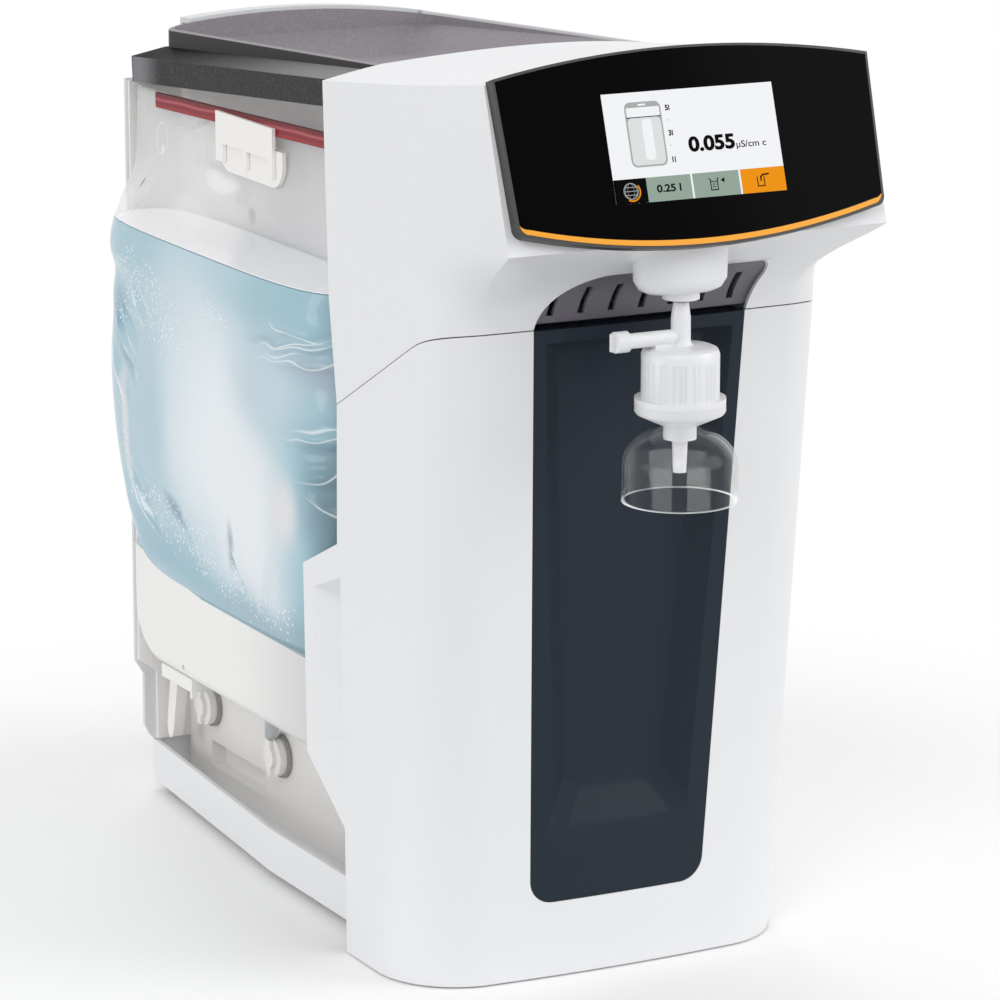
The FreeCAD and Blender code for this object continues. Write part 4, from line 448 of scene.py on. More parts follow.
lit_white = lit("lit_white", "#F2F3F6")
lit_pale = lit("lit_pale_grey", "#DDE0DF")
lit_grey = lit("lit_mid_grey", "#A9ADAB")
lit_sage = lit("lit_sage", "#94A69A")
lit_orange = lit("lit_orange", "#EE9310")
lit_ink = lit("lit_ink", "#080808")
print("screen middle:", [round(v, 4) for v in screen_middle])

# %% [markdown]
# Three flat shapes are enough for the whole picture: a rectangle with rounded corners, a stroke along
# a few points, and a round band. The rectangle is a one-face grid whose corners are bevelled, the
# stroke is one thin rectangle per run, and the band is a short edge spun round a centre.

# %% Flat shapes
def panel(mesh, left, low, right, high, corner=0.0):
    """A rectangle; corner is the radius of its corners."""
    place = Matrix.Translation(((left + right) / 2, (low + high) / 2, 0))
    stretch = Matrix.Diagonal(((right - left) / 2, (high - low) / 2, 1, 1))
    made = bmesh.ops.create_grid(mesh, x_segments=1, y_segments=1, size=1.0, matrix=place @ stretch)
    if corner:
        bmesh.ops.bevel(mesh, geom=made["verts"], offset=corner, segments=6, profile=0.5,
                        affect="VERTICES", offset_type="OFFSET", material=-1)


def stroke(mesh, width, *points):
    """A line through the points, in straight runs of one width."""
    for start, end in zip(points, points[1:]):
        start, end = Vector((*start, 0)), Vector((*end, 0))
        run = end - start
        turn = Matrix.Rotation(math.atan2(run.y, run.x), 4, "Z")
        stretch = Matrix.Diagonal(((run.length + width) / 2, width / 2, 1, 1))
        bmesh.ops.create_grid(mesh, x_segments=1, y_segments=1, size=1.0,
                              matrix=Matrix.Translation((start + end) / 2) @ turn @ stretch)


def band(mesh, centre, radius, width, start=0, sweep=360, squeeze=1.0):
    """A ring or arc. Angles in degrees; squeeze narrows it sideways."""
    before = set(mesh.verts)
    first = Matrix.Rotation(math.radians(start), 4, "Z")
    ends = [mesh.verts.new(first @ Vector((radius + side, 0, 0))) for side in (-width / 2, width / 2)]
    edge = mesh.edges.new(ends)
    bmesh.ops.spin(mesh, geom=ends + [edge], cent=(0, 0, 0), axis=(0, 0, 1), steps=40,
                   angle=math.radians(sweep), use_merge=sweep == 360)
    made = [vert for vert in mesh.verts if vert not in before]
    bmesh.ops.transform(mesh, verts=made, matrix=Matrix.Translation((*centre, 0))
                        @ Matrix.Diagonal((squeeze, 1, 1, 1)))


def face_front(mesh):
    """Turns every face of a flat picture to its viewer."""
    for face in mesh.faces:
        face.normal_update()
    bmesh.ops.reverse_faces(mesh, faces=[f for f in mesh.faces if f.normal.z < 0])


def picture(name, finish, level, draw):
    """One layer of the screen's picture; draw puts its shapes into a mesh."""
    mesh = bmesh.new()
    draw(mesh)
    face_front(mesh)
    print(name, "has", len(mesh.faces), "faces on layer", level)
    return keep(mesh, name, finish, "housing", layer(level), smooth=False)


# %% Backgrounds and buttons
half_wide, half_high = 95.04 / 2, 53.86 / 2
bar_top = -14.9
picture("screen_white", lit_white, 0,
        lambda m: panel(m, -half_wide, -half_high, half_wide, half_high))
picture("screen_menu", lit_ink, 1, lambda m: panel(m, -half_wide, -half_high, -29.6, bar_top))


def sage_buttons(mesh):
    panel(mesh, -29.6, -half_high, -5.0, bar_top)
    panel(mesh, -4.0, -half_high, 21.8, bar_top)


picture("screen_buttons", lit_sage, 1, sage_buttons)
picture("screen_dispense", lit_orange, 1,
        lambda m: panel(m, 22.8, -half_high, half_wide, bar_top))

# %% [markdown]
# The left picture shows how full the storage bag is: a bag outline with a level line, beside a scale
# of litres. The right one is the reading of the conductivity cell. The icons on the buttons are plain
# line drawings: a beaker with an arrowhead, a cup under a tap, and a globe.

# %% The bag's picture
picture("screen_bag_rim", lit_grey, 1, lambda m: panel(m, -35.9, -9.7, -15.9, 22.1, 3.2))
picture("screen_bag_top", lit_white, 2, lambda m: panel(m, -35.0, 14.8, -16.8, 19.4, 0.5))
picture("screen_bag_slot", lit_white, 2, lambda m: panel(m, -28.2, 20.2, -24.0, 21.1, 0.35))
picture("screen_bag_water", lit_pale, 2, lambda m: panel(m, -35.0, -8.8, -16.8, 14.4, 2.6))
picture("screen_bag_shine", lit_white, 3, lambda m: panel(m, -27.5, -6.5, -22.0, 13.6, 2.0))


def level_line(mesh):
    stroke(mesh, 0.45, (-35.2, 14.6), (-16.6, 14.6))
    for tick in (12.0, -0.5):
        panel(mesh, -13.6, tick, -13.1, tick + 0.4)


def beaker(mesh):
    stroke(mesh, 0.55, (5.0, -18.1), (5.6, -18.6), (5.6, -23.7), (9.4, -23.7), (9.4, -18.6),
           (10.0, -18.1))
    stroke(mesh, 0.4, (5.8, -19.6), (9.2, -19.6))
    for dash in (-20.9, -22.2):
        stroke(mesh, 0.45, (6.7, dash), (8.0, dash))


def cup_and_tap(mesh):
    stroke(mesh, 0.55, (31.7, -19.4), (31.9, -23.8), (35.6, -23.8), (35.6, -19.4))
    stroke(mesh, 0.8, (33.8, -21.0), (33.8, -19.4), (34.8, -18.4), (38.2, -18.1))


def arrowhead(mesh):
    bmesh.ops.create_circle(mesh, cap_ends=True, segments=3, radius=1.5,
                            matrix=Matrix.Translation((12.7, -19.2, 0))
                            @ Matrix.Rotation(math.radians(90), 4, "Z"))


def ink(mesh):
    for draw in (level_line, beaker, cup_and_tap, arrowhead):
        draw(mesh)


picture("screen_lines", lit_ink, 4, ink)


def globe(mesh):
    x, y, radius = -38.6, -20.9, 3.9
    band(mesh, (x, y), radius, 0.35)
    for squeeze in (0.45, 0.85):
        band(mesh, (x, y), radius, 0.3, squeeze=squeeze)
    for level in (-1.9, 0.0, 1.9):
        reach = math.sqrt(radius ** 2 - level ** 2)
        stroke(mesh, 0.3, (x - reach, y + level), (x + reach, y + level))


picture("screen_globe", lit_grey, 3, globe)
picture("screen_globe_arc", lit_orange, 4, lambda m: band(m, (-38.1, -21.2), 4.5, 0.75, -120, 160))

# %% [markdown]
# Numbers are text objects in Blender's own font. They are turned into meshes before they are placed.
# A font's letter height is about 0.73 of its size, so a size is the wanted height divided by that.

# %% Numbers on the screen
letter_share = 0.73


def finished_mesh(maker):
    """The mesh that a text or a modifier gives. The object that made it is removed."""
    bpy.context.collection.objects.link(maker)
    bpy.context.view_layer.update()
    mesh = bpy.data.meshes.new_from_object(maker.evaluated_get(bpy.context.evaluated_depsgraph_get()))
    bpy.data.objects.remove(maker)
    return mesh


def write(name, words, left, base, height, bold=0.0, stretch=1.0):
    """Words in ink. bold swells the strokes by that many millimetres, stretch widens the words."""
    curve = bpy.data.curves.new(name, "FONT")
    curve.body = words
    curve.size = height / letter_share
    curve.offset = bold
    mesh = bmesh.new()
    mesh.from_mesh(finished_mesh(bpy.data.objects.new(name + "_curve", curve)))
    shift = left - stretch * min(v.co.x for v in mesh.verts)
    bmesh.ops.transform(mesh, verts=mesh.verts, matrix=Matrix.Translation((shift, base, 0))
                        @ Matrix.Diagonal((stretch, 1, 1, 1)))
    face_front(mesh)
    width = max(v.co.x for v in mesh.verts) - left
    print(name, "is", round(width, 1), "mm wide")
    return keep(mesh, name, lit_ink, "housing", layer(4), smooth=False)


write("screen_reading", "0.055", -3.6, -3.9, 7.1, bold=0.42, stretch=1.2)
write("screen_unit", "µS/cm c", 22.9, -4.0, 3.4, bold=0.06, stretch=1.15)
write("screen_volume", "0.25 l", -24.4, -22.5, 3.7, bold=0.16, stretch=1.22)
for number, base in (("5", 17.0), ("3", 4.6), ("1", -8.4)):
    write("screen_scale_" + number, number + "l", -13.6, base, 2.7, bold=0.14)

# %% [markdown]
# ## The storage bag
# The bag is two sheets of clear polyethylene film, welded round the edge and filled with water to
# about three quarters. Water pushes the lower part out into a belly, while the film above the water
# stays slack. A merged copy of the CAD solid gives the space that the bag may fill. A voxel remesh
# turns it into small even faces, which can then be dented and creased.

# %% Even copy of the bag's solid
def even_copy(name, voxel):
    """A merged copy of a CAD solid in small even faces; voxel is their size in millimetres."""
    mesh = bmesh.new()
    mesh.from_mesh(nodes[name].data)
    bmesh.ops.remove_doubles(mesh, verts=mesh.verts, dist=0.005 * MM)
    maker = bpy.data.objects.new(name + "_copy", settled(mesh, name + "_copy"))
    cells = maker.modifiers.new("even faces", "REMESH")
    cells.mode = "VOXEL"
    cells.voxel_size = voxel * MM
    return finished_mesh(maker)


bag = bmesh.new()
bag.from_mesh(even_copy("storage_bag", 1.9))
for _ in range(4):
    bmesh.ops.smooth_vert(bag, verts=bag.verts, factor=0.5, use_axis_x=True, use_axis_y=True,
                          use_axis_z=True)
water_level = 344.0 * MM
print("bag:", len(bag.verts), "points, water up to", round(water_level, 3), "m")

# %% [markdown]
# Film can't stretch, so where the pillow curves two ways it buckles. It first sinks into shallow dents
# beside the welded ends, and then folds into creases, which start at the ends and die out towards the
# belly. A dent is given by its middle along the bag and up, its half-sizes and its depth. Each crease
# is a ridge beside a furrow along a short line, given by its two ends, its height and its half-width. A
# height below zero makes the ridge the furrow. All are in millimetres. Near its foot the full bag also
# leans out against the cradle.

# %% Dents and creases in the film
def ramp(value, start, end):
    """Smooth step from 0 to 1."""
    share = min(1.0, max(0.0, (value - start) / (end - start)))
    return share * share * (3 - 2 * share)


dents = [((222, 314), (30, 9), 3.0), ((-50, 332), (16, 13), 5.0), ((-40, 296), (22, 8), 1.6),
         ((-56, 248), (22, 14), 3.0), ((90, 186), (12, 16), 1.4), ((214, 196), (12, 12), 1.6)]
creases = [
    ((189, 308), (175, 295), 1.4, 2.6), ((217, 287), (194, 271), 2.0, 2.6),
    ((206, 293), (186, 275), 1.8, 2.4), ((211, 280), (187, 263), -1.8, 3.0),
    ((222, 266), (200, 248), 1.6, 4.0), ((202, 195), (178, 177), 2.2, 2.8),
    ((200, 206), (180, 190), -1.6, 3.2), ((2, 323), (-29, 320), 1.5, 2.4),
    ((-29, 320), (12, 308), 1.3, 2.4), ((12, 308), (-44, 317), 1.6, 2.4),
    ((8, 303), (-66, 309), 2.4, 2.6), ((20, 312), (-66, 322), -1.6, 4.5),
    ((-17, 266), (-66, 273), 3.0, 3.0), ((-20, 259), (-66, 260), -2.6, 4.0),
    ((-24, 246), (-66, 252), 1.8, 2.8), ((-28, 238), (-66, 240), -1.6, 3.6),
    ((-26, 234), (-60, 214), 1.6, 3.4), ((72, 188), (62, 166), -2.4, 3.0),
    ((134, 188), (122, 176), -1.4, 4.0), ((20, 196), (44, 160), 0.9, 5.0),
    ((196, 372), (214, 348), 1.6, 2.8), ((178, 399), (157, 400), 1.4, 2.6),
    ((157, 400), (131, 408), 1.4, 2.6), ((60, 392), (20, 374), 1.2, 4.0),
    ((-10, 400), (-40, 372), 1.4, 4.0), ((137, 402), (137, 386), 1.0, 2.4),
]


def dent(vert, middle, sizes, depth):
    """How far one dent lowers one point, in millimetres."""
    off_y = (vert.co.y / MM - middle[0]) / sizes[0]
    off_z = (vert.co.z / MM - middle[1]) / sizes[1]
    return depth * math.exp(-off_y ** 2 - off_z ** 2)


run_out = 0.3
furrow_share, furrow_off = 0.6, 1.7


def crease(vert, start, end, lift, half_width):
    """How far one crease lifts one point. It fades out past its ends, by run_out of its length."""
    run_y, run_z = end[0] - start[0], end[1] - start[1]
    off_y, off_z = vert.co.y / MM - start[0], vert.co.z / MM - start[1]
    length = math.hypot(run_y, run_z)
    along = (off_y * run_y + off_z * run_z) / length ** 2
    across = (off_y * run_z - off_z * run_y) / length / half_width
    if not -run_out < along < 1 + run_out or abs(across) > 4:
        return 0.0
    fade = ramp(along, -run_out, run_out) * (1 - ramp(along, 1 - run_out, 1 + run_out))
    furrow = furrow_share * math.exp(-(across - furrow_off) ** 2)
    return lift * fade * (math.exp(-across ** 2) - furrow)


cradle_lean, cradle_low, cradle_top = 1.3, 152, 168
film_inset = 0.2
bag.normal_update()
for vert in bag.verts:
    if vert.normal.x < -0.2:
        lift = sum(crease(vert, *one) for one in creases) - sum(dent(vert, *one) for one in dents)
        resting = cradle_lean * (1 - ramp(vert.co.z / MM, cradle_low, cradle_top))
        vert.co += vert.normal * (lift + resting - film_inset) * MM
print("dents:", len(dents), "creases:", len(creases))

# %% [markdown]
# One cut along the water's surface parts the shape in two. The lower half is closed with a flat face,
# the water's surface, and is filled with water: seen through so much water and film it is a pale blue
# body, milky in the middle where the white bay shines through, deeper blue towards its edges. A list
# of soft oval patches paints that light, each with its colour, middle, half-sizes, softness and slant;
# the darker ones are painted shade in the dents and creases of the film. The patches follow the bag's
# own coordinates.

# %% Soft patches
too_wide_to_matter = 1000


def blob(tree, place, middle, sizes, soft=0.6, slant=0.0):
    """A soft oval mask on the bag's side; middle and half-sizes in mm along y and z."""
    fitted = add(tree, "ShaderNodeMapping", {"Vector": place},
                 {"Location": (0, middle[0] * MM, middle[1] * MM),
                  "Rotation": (math.radians(slant), 0, 0),
                  "Scale": (too_wide_to_matter, sizes[0] * MM, sizes[1] * MM)},
                 vector_type="TEXTURE")
    far = add(tree, "ShaderNodeVectorMath", {0: fitted.outputs["Vector"]}, operation="LENGTH")
    return add(tree, "ShaderNodeMapRange", {"Value": far.outputs["Value"]},
               {"From Min": 1.0 + soft, "From Max": max(0.0, 1.0 - soft)},
               interpolation_type="SMOOTHSTEP").outputs["Result"]


def streak(tree, place, start, end, half_width, soft=0.6):
    """A mask along a short line that thins out at both ends."""
    run_y, run_z = end[0] - start[0], end[1] - start[1]
    middle = ((start[0] + end[0]) / 2, (start[1] + end[1]) / 2)
    sizes = (math.hypot(run_y, run_z) / 2, half_width)
    return blob(tree, place, middle, sizes, soft, math.degrees(math.atan2(run_z, run_y)))


def most(tree, masks):
    """The strongest of several masks at each point."""
    result = masks[0]
    for mask in masks[1:]:
        result = maths(tree, "MAXIMUM", result, mask)
    return result


def scaled(tree, mask, share):
    """A mask made weaker or stronger."""
    return maths(tree, "MULTIPLY", mask, share)


def waved(tree, place, grain, reach):
    """The place, pushed about by slow noise, so that patches get uneven outlines."""
    drift = add(tree, "ShaderNodeTexNoise", {"Vector": place},
                {"Scale": 1 / (grain * MM), "Detail": 0.0})
    middle = add(tree, "ShaderNodeVectorMath", {0: drift.outputs["Color"]},
                 {1: (0.5, 0.5, 0.5)}, operation="SUBTRACT")
    push = add(tree, "ShaderNodeVectorMath", {0: middle.outputs["Vector"]},
               {1: (0, reach * MM, reach * MM)}, operation="MULTIPLY")
    return add(tree, "ShaderNodeVectorMath", {0: place, 1: push.outputs["Vector"]},
               operation="ADD").outputs["Vector"]


bag_water, tree, shader = new_material("water_in_pe_film", "#A9C9D6", 0.10, IOR=1.38)
place = own_place(tree)
bent = waved(tree, place, 60, 24)
# Darker patches are painted shade in the dents and creases; the milky and pale blue ones are painted
# light through the water.
patches = [
    ("#BDD5DF", (130, 262), (70, 64), 0.8, 0), ("#DCE9EF", (92, 262), (58, 66), 0.95, 0),
    ("#EEF4F8", (76, 236), (46, 56), 0.95, 0), ("#F0F3F6", (40, 210), (36, 44), 0.9, 0),
    ("#B6D0DC", (168, 236), (20, 50), 0.8, 0), ("#C6D8E1", (14, 288), (36, 24), 0.9, 0),
    ("#DCE0E5", (201, 232), (5, 30), 0.6, 0), ("#A3C6D2", (-10, 336), (54, 12), 0.9, 0),
    ("#6C9CA8", (-54, 336), (7, 15), 0.8, 0), ("#AEBFCD", (-50, 298), (34, 9), 0.9, 6),
    ("#7F9BA9", (-40, 230), (22, 26), 0.7, -12), ("#E6E5E7", (2, 226), (9, 14), 0.8, 0),
    ("#7FB2CA", (208, 168), (18, 22), 0.9, 0), ("#8FBACB", (176, 166), (34, 14), 0.9, 20),
    ("#94BCCC", (110, 152), (64, 12), 0.9, 6), ("#98B9C8", (40, 148), (54, 14), 0.9, 0),
    ("#93B3C2", (-30, 148), (44, 20), 0.9, 0), ("#86A4B6", (136, 188), (12, 5), 0.9, 30),
    ("#9AB0BF", (72, 188), (4, 11), 0.9, 12), ("#7FA9C0", (214, 296), (13, 13), 0.8, -30),
]
skin = colour("#A6C9D6")
for chart, middle, sizes, soft, slant in patches:
    skin = tint(tree, skin, chart, blob(tree, bent, middle, sizes, soft, slant))
print("patches:", len(patches))

# %% [markdown]
# Small air bubbles stick to the film in swarms. They are the cells of a flat Voronoi pattern, about
# three millimetres apart: each gets its own size, and many get none. The creases catch the studio light
# as thin white lines of painted highlight, wider at the rear end, and the deepest have a dark line of
# painted shade beside them.

# %% Bubbles, glints and the water line
split = add(tree, "ShaderNodeSeparateXYZ", {"Vector": place})
flat = add(tree, "ShaderNodeCombineXYZ", {"X": split.outputs["Y"], "Y": split.outputs["Z"]})
specks = add(tree, "ShaderNodeTexVoronoi", {"Vector": flat.outputs["Vector"]},
             {"Scale": 1 / (2.7 * MM), "Randomness": 1.0}, voronoi_dimensions="2D")
chance = add(tree, "ShaderNodeSeparateColor", {"Color": specks.outputs["Color"]})
radius = add(tree, "ShaderNodeMapRange", {"Value": chance.outputs["Red"]},
             {"From Min": 0.3, "From Max": 1.0, "To Min": 0.08, "To Max": 0.34})
dots = maths(tree, "LESS_THAN", specks.outputs["Distance"], radius.outputs["Result"])

swarms = [((204, 326), (16, 14), 0), ((180, 314), (32, 16), 20), ((150, 298), (26, 14), 10),
          ((208, 296), (10, 7), 0), ((76, 314), (9, 8), 0), ((206, 226), (4, 24), 0),
          ((160, 188), (26, 11), 16), ((122, 174), (36, 12), 10), ((80, 166), (32, 11), 6),
          ((34, 164), (28, 8), 0)]
masks = [blob(tree, bent, middle, sizes, 0.95, slant) for middle, sizes, slant in swarms]
crowd = maths(tree, "GREATER_THAN", scaled(tree, most(tree, masks), 1.3), chance.outputs["Green"])
bubbles = maths(tree, "MULTIPLY", dots, crowd)
skin = tint(tree, skin, "#F2F8FB", scaled(tree, bubbles, 0.8))

# Painted shade: dark lines along the deepest furrows.
shaded_furrows = [((24, 311), (-66, 318)), ((-22, 262), (-66, 258)), ((-28, 242), (-66, 243)),
           ((216, 278), (190, 260)), ((200, 192), (176, 174)), ((70, 184), (62, 168))]
curl = waved(tree, place, 26, 14)
lines = [streak(tree, curl, start, end, 2.2, 0.9) for start, end in shaded_furrows]
skin = tint(tree, skin, "#8BA9B9", scaled(tree, most(tree, lines), 0.45))
# Painted highlights: thin white lines along the crease ridges.
glints = [((2, 323), (-12, 322)), ((-8, 322), (-31, 319)), ((-29, 319), (12, 309)),
          ((12, 309), (-44, 318)), ((8, 304), (-14, 309)), ((10, 302), (-70, 309)),
          ((-15, 266), (-66, 272)), ((-20, 271), (-60, 277)), ((-24, 246), (-66, 251)),
          ((-28, 236), (-62, 220)), ((190, 309), (175, 294)), ((218, 288), (194, 270)),
          ((207, 293), (186, 274)), ((212, 281), (188, 264)), ((203, 197), (177, 176)),
          ((194, 192), (176, 179)), ((224, 262), (206, 246))]
rear_end = 100
lines = [streak(tree, curl, start, end, 0.8 if start[0] > rear_end else 0.5, 0.8)
         for start, end in glints]
skin = tint(tree, skin, "#F3F9FB", scaled(tree, most(tree, lines), 0.8))
edge_line = maths(tree, "GREATER_THAN", split.outputs["Z"], water_level - 0.6 * MM)
skin = tint(tree, skin, "#7493A3", edge_line)
tree.links.new(skin, shader.inputs["Base Color"])
print("swarms:", len(swarms), "furrows:", len(shaded_furrows), "glints:", len(glints))

shader.inputs["Subsurface Weight"].default_value = 0.1
shader.inputs["Subsurface Scale"].default_value = 4 * MM
shader.inputs["Subsurface Radius"].default_value = (0.8, 1.0, 1.0)
ripple(tree, shader, grain=22.0, height=0.35, detail=3.0)

# %% [markdown]
# From above, the water's flat surface mirrors the bay, and its colour is that painted reflection: a
# brighter part towards the rear and a darker one towards the front, parted by a slanting line. A little
# emission stands for the light that comes back up out of the water.

# %% Water surface
water_top, tree, shader = new_material("water_surface", "#D4D9E2", 0.05, IOR=1.33)
split = add(tree, "ShaderNodeSeparateXYZ", {"Vector": own_place(tree)})
slanted = maths(tree, "MULTIPLY_ADD", split.outputs["X"], -1.9, split.outputs["Y"])
lane = add(tree, "ShaderNodeMapRange", {"Value": slanted},
           {"From Min": 274 * MM, "From Max": 288 * MM}, interpolation_type="SMOOTHSTEP")
# Painted reflection of the bay; as a weak emission, the same colour is painted light coming out of the
# water.
mirrored = tint(tree, colour("#DDE2EA"), "#FBFCFF", lane.outputs["Result"])
tree.links.new(mirrored, shader.inputs["Base Color"])
tree.links.new(mirrored, shader.inputs["Emission Color"])
shader.inputs["Emission Strength"].default_value = 0.22
print("surface:", water_top.name)

# %% [markdown]
# Above the water the film is empty and clear. A thin film hardly bends light, so it isn't made of
# glass with a thickness: it is a glossy white skin that lets most of the light straight through, which
# is what its Alpha says. Where the slack film folds or mirrors a lamp on its outer side it is a denser
# white, a painted highlight, and along the water it is a denser white too. It also has a round moulded
# port, seen as a pale ring with a small painted highlight, and a dark slit of painted shade.

# %% Film material
clear_film, tree, shader = new_material("clear_pe_film", "#FBFBFC", 0.12, IOR=1.5)
place = own_place(tree)
bent = waved(tree, place, 40, 10)
split = add(tree, "ShaderNodeSeparateXYZ", {"Vector": place})
port = (195, 392)
ring = maths(tree, "SUBTRACT", blob(tree, place, port, (9.0, 9.4), 0.12),
             blob(tree, place, port, (7.4, 7.8), 0.12))
# The port's pale ring, and painted highlights where the film mirrors a lamp and on the port.
shine = [scaled(tree, blob(tree, bent, (112, 380), (24, 6), 0.6, 3), 0.75),
         scaled(tree, blob(tree, bent, (136, 362), (34, 12), 0.8, 3), 0.55),
         scaled(tree, blob(tree, bent, (206, 362), (26, 24), 0.95), 0.34),
         scaled(tree, blob(tree, bent, (140, 372), (66, 40), 0.95), 0.4),
         scaled(tree, ring, 0.5), scaled(tree, blob(tree, place, (193, 386), (3, 3.4), 0.6), 0.6)]
# Painted highlights along the folds.
folds = [((180, 399), (158, 400)), ((160, 400), (131, 408)), ((199, 399), (200, 379)),
         ((201, 381), (217, 340)), ((224, 374), (223, 338)), ((138, 405), (137, 386))]
shine += [scaled(tree, streak(tree, bent, start, end, 1.0, 0.9), 0.35) for start, end in folds]
outer_side = -90.5 * MM
outside = maths(tree, "LESS_THAN", split.outputs["X"], outer_side)
rim = maths(tree, "LESS_THAN", split.outputs["Z"], water_level + 0.5 * MM)
marks = most(tree, shine + [scaled(tree, rim, 0.8)])
seen = maths(tree, "MULTIPLY", marks, outside)
veil = add(tree, "ShaderNodeMapRange", {"Value": seen}, {"To Min": 0.34, "To Max": 1.0})
tree.links.new(veil.outputs["Result"], shader.inputs["Alpha"])
# Painted shade: the dark slit.
slit = streak(tree, place, (208, 368), (210, 363), 1.0, 0.3)
tree.links.new(tint(tree, colour("#FBFBFC"), "#4A4A4A", slit), shader.inputs["Base Color"])
ripple(tree, shader, grain=26.0, height=0.8, detail=2.0)
print("film: marks", len(shine), "with", len(folds), "folds")

# %% Cut the bag at the water's surface
def half_bag(keep_low):
    """The bag below the water's surface, closed by that surface, or the open bag above it."""
    part = bag.copy()
    cut = bmesh.ops.bisect_plane(part, geom=part.verts[:] + part.edges[:] + part.faces[:],
                                 dist=0.0001 * MM, plane_co=(0, 0, water_level),
                                 plane_no=(0, 0, 1), clear_outer=keep_low, clear_inner=not keep_low)
    if keep_low:
        rim = [item for item in cut["geom_cut"] if isinstance(item, bmesh.types.BMEdge)]
        bmesh.ops.contextual_create(part, geom=rim)
    return part


water = keep(half_bag(True), "bag_water", bag_water, "housing")
water.data.materials.append(water_top)
for face in water.data.polygons:
    if face.normal.z > 0.98 and face.center.z > water_level - 0.2 * MM:
        face.material_index = 1
        face.use_smooth = False
film = keep(half_bag(False), "bag_film", clear_film, "housing")
bag.free()
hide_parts("storage_bag")
print("water:", len(water.data.polygons), "faces; film:", len(film.data.polygons), "faces")

# %% [markdown]
# The zip that closes the bag's mouth is red polyethylene: a flat strip with a rolled upper edge and
# a groove along its middle, pressed onto the film. Its colour runs from a dark upper edge over a
# lighter
# band and a dark groove to the plain red: painted shade on the edge and in the groove, and a painted
# highlight on the band. The strip falls a little to the rear, so its bands are read along a turned
# height.

# %% Zip material
zip_red, tree, shader = new_material("polyethylene_red", "#A0383E", 0.45, IOR=1.5,
                                     Specular_IOR_Level=0.2)
place = own_place(tree)
split = add(tree, "ShaderNodeSeparateXYZ", {"Vector": place})
wave = add(tree, "ShaderNodeTexNoise", {"Vector": place}, {"Scale": 1 / (30 * MM), "Detail": 1.0})
zip_low, zip_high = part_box("bag_zip")
fall = math.tan(math.radians(2.1))
level = maths(tree, "MULTIPLY_ADD", split.outputs["Y"], fall, split.outputs["Z"])
height = maths(tree, "MULTIPLY_ADD", wave.outputs["Fac"], 2.4 * MM, level)
top = zip_high[2] + zip_low[1] * fall
span = add(tree, "ShaderNodeMapRange", {"Value": height},
           {"From Min": top - 8.0 * MM, "From Max": top + 1.4 * MM})
# Painted shade at the upper edge and in the groove, and a painted highlight on the band between.
shades = add(tree, "ShaderNodeValToRGB", {"Fac": span.outputs["Result"]})
stops = shades.color_ramp
stops.elements[0].color = colour("#8E2A30")
stops.elements[1].color = colour("#5E2326")
for spot, chart in ((0.22, "#9C3238"), (0.42, "#7C2329"), (0.52, "#962E34"), (0.62, "#B4626A"),
                    (0.72, "#8A2A30"), (0.86, "#6A2126")):
    stops.elements.new(spot).color = colour(chart)
tree.links.new(shades.outputs["Color"], shader.inputs["Base Color"])
dress(nodes["bag_zip"], zip_red, 0.4)
print("zip:", [[round(c, 4) for c in corner] for corner in (zip_low, zip_high)])

# %% [markdown]
# ## Floor, light and camera
# The object stands on a pale floor under soft studio light. Four large area lamps and an even world
# light it. The Light Path node shows a brighter, white backdrop to the camera and to mirroring and
# clear surfaces only, so matt ones get no light from it. The floor is a sheet of white paper that keeps
# the object's shadow; away from the object its Alpha fades out, so that it runs into the backdrop
# without an edge.

# %% Floor
floor_size = 2.6
mesh = bmesh.new()
bmesh.ops.create_grid(mesh, x_segments=1, y_segments=1, size=floor_size / 2)
floor = bpy.data.objects.new("studio_floor", settled(mesh, "studio_floor"))
bpy.context.collection.objects.link(floor)
paper, tree, shader = new_material("studio_paper", "#FFFFFF", 0.9)
away = add(tree, "ShaderNodeVectorMath", {0: own_place(tree)}, operation="LENGTH")
fade = add(tree, "ShaderNodeMapRange", {"Value": away.outputs["Value"]},
           {"From Min": 0.30, "From Max": 0.62, "To Min": 1.0, "To Max": 0.0},
           interpolation_type="SMOOTHSTEP")
tree.links.new(fade.outputs["Result"], shader.inputs["Alpha"])
floor.data.materials.append(paper)
print("floor:", floor_size, "m wide")

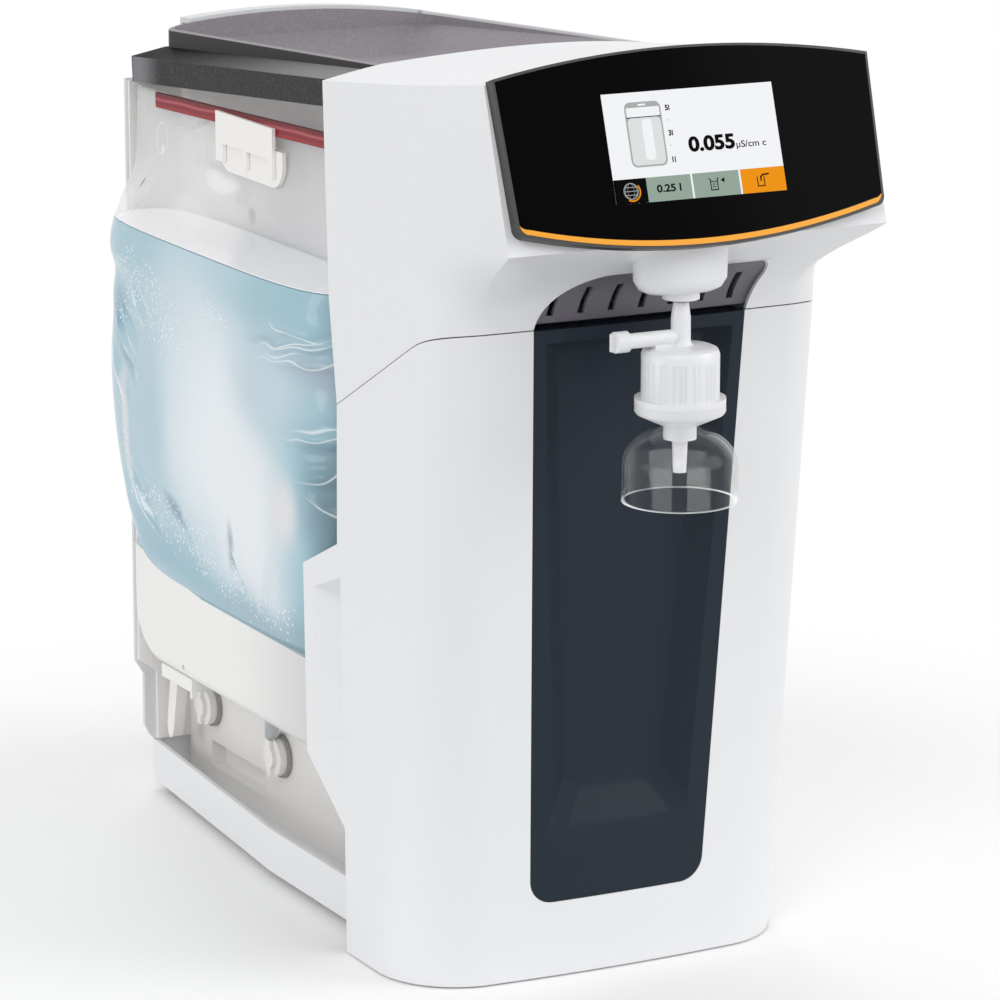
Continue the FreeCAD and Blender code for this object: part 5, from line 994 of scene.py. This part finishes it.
# %% World and lamps
world = bpy.data.worlds.new("studio_world")
world.use_nodes = True
bpy.context.scene.world = world
sky = world.node_tree
background = sky.nodes["Background"]
background.inputs["Color"].default_value = (1, 1, 1, 1)
background.inputs["Strength"].default_value = 0.62
bright = add(sky, "ShaderNodeBackground", inputs={"Color": (1, 1, 1, 1), "Strength": 1.0})
ray = add(sky, "ShaderNodeLightPath")
clear_rays = most(sky, [ray.outputs[kind] for kind in ("Is Camera Ray", "Is Glossy Ray",
                                                       "Is Transmission Ray")])
choice = add(sky, "ShaderNodeMixShader", {0: clear_rays, 1: background.outputs[0],
                                          2: bright.outputs[0]})
sky.links.new(choice.outputs[0], sky.nodes["World Output"].inputs["Surface"])


def softbox(name, place, aim, size, power, shape="DISK"):
    """An area lamp, round unless it says otherwise. Places and size in metres, power in watts."""
    lamp = bpy.data.lights.new(name, "AREA")
    lamp.shape = shape
    lamp.size = size
    lamp.energy = power
    made = bpy.data.objects.new(name, lamp)
    made.location = place
    made.rotation_euler = (Vector(aim) - Vector(place)).to_track_quat("-Z", "Y").to_euler()
    bpy.context.collection.objects.link(made)
    return made


softbox("key_light", (-1.6, -1.9, 2.2), (0, 0, 0.25), 1.6, 20.0)
softbox("side_light", (-2.4, 0.2, 0.7), (0, 0, 0.25), 1.2, 8.0)
softbox("fill_light", (1.9, -1.6, 1.3), (0, 0, 0.25), 1.8, 22.0)
softbox("back_light", (0.4, 2.0, 2.4), (0, 0, 0.3), 1.6, 11.0)

# %% [markdown]
# A clear bell shows itself only by what it mirrors. Two low square cards of light stand in front of it,
# one on each side of the lens, and light linking lets them light the bell alone.

# %% Cards for the bell
bell_only = bpy.data.collections.new("bell_only")
bell_only.objects.link(nodes["filling_bell"])
for name, place, size, power in (("card_right", (0.19, -1.23, 0.2), 0.95, 16.0),
                                 ("card_left", (-0.91, -0.66, 0.2), 0.75, 8.0)):
    card = softbox(name, place, (0, -0.25, 0.2), size, power, shape="SQUARE")
    card.light_linking.receiver_collection = bell_only

# %% [markdown]
# The camera looks from the front left, 27.4 degrees round and 13.3 degrees down, through a long lens,
# so that upright lines stay nearly parallel.

# %% Camera
round_by, down_by = math.radians(27.404), math.radians(13.323)
lens = bpy.data.cameras.new("camera")
lens.lens = 176.21
lens.sensor_width = 36.0
lens.clip_start = 0.05
camera = bpy.data.objects.new("camera", lens)
camera.location = (-1.16525, -2.27661, 0.82209)
camera.rotation_euler = (math.radians(90) - down_by, 0, -round_by)
bpy.context.collection.objects.link(camera)
bpy.context.scene.camera = camera
bpy.context.scene.view_settings.view_transform = "Standard"
print("lens:", round(lens.lens), "mm, distance:", round(camera.location.length, 2), "m")
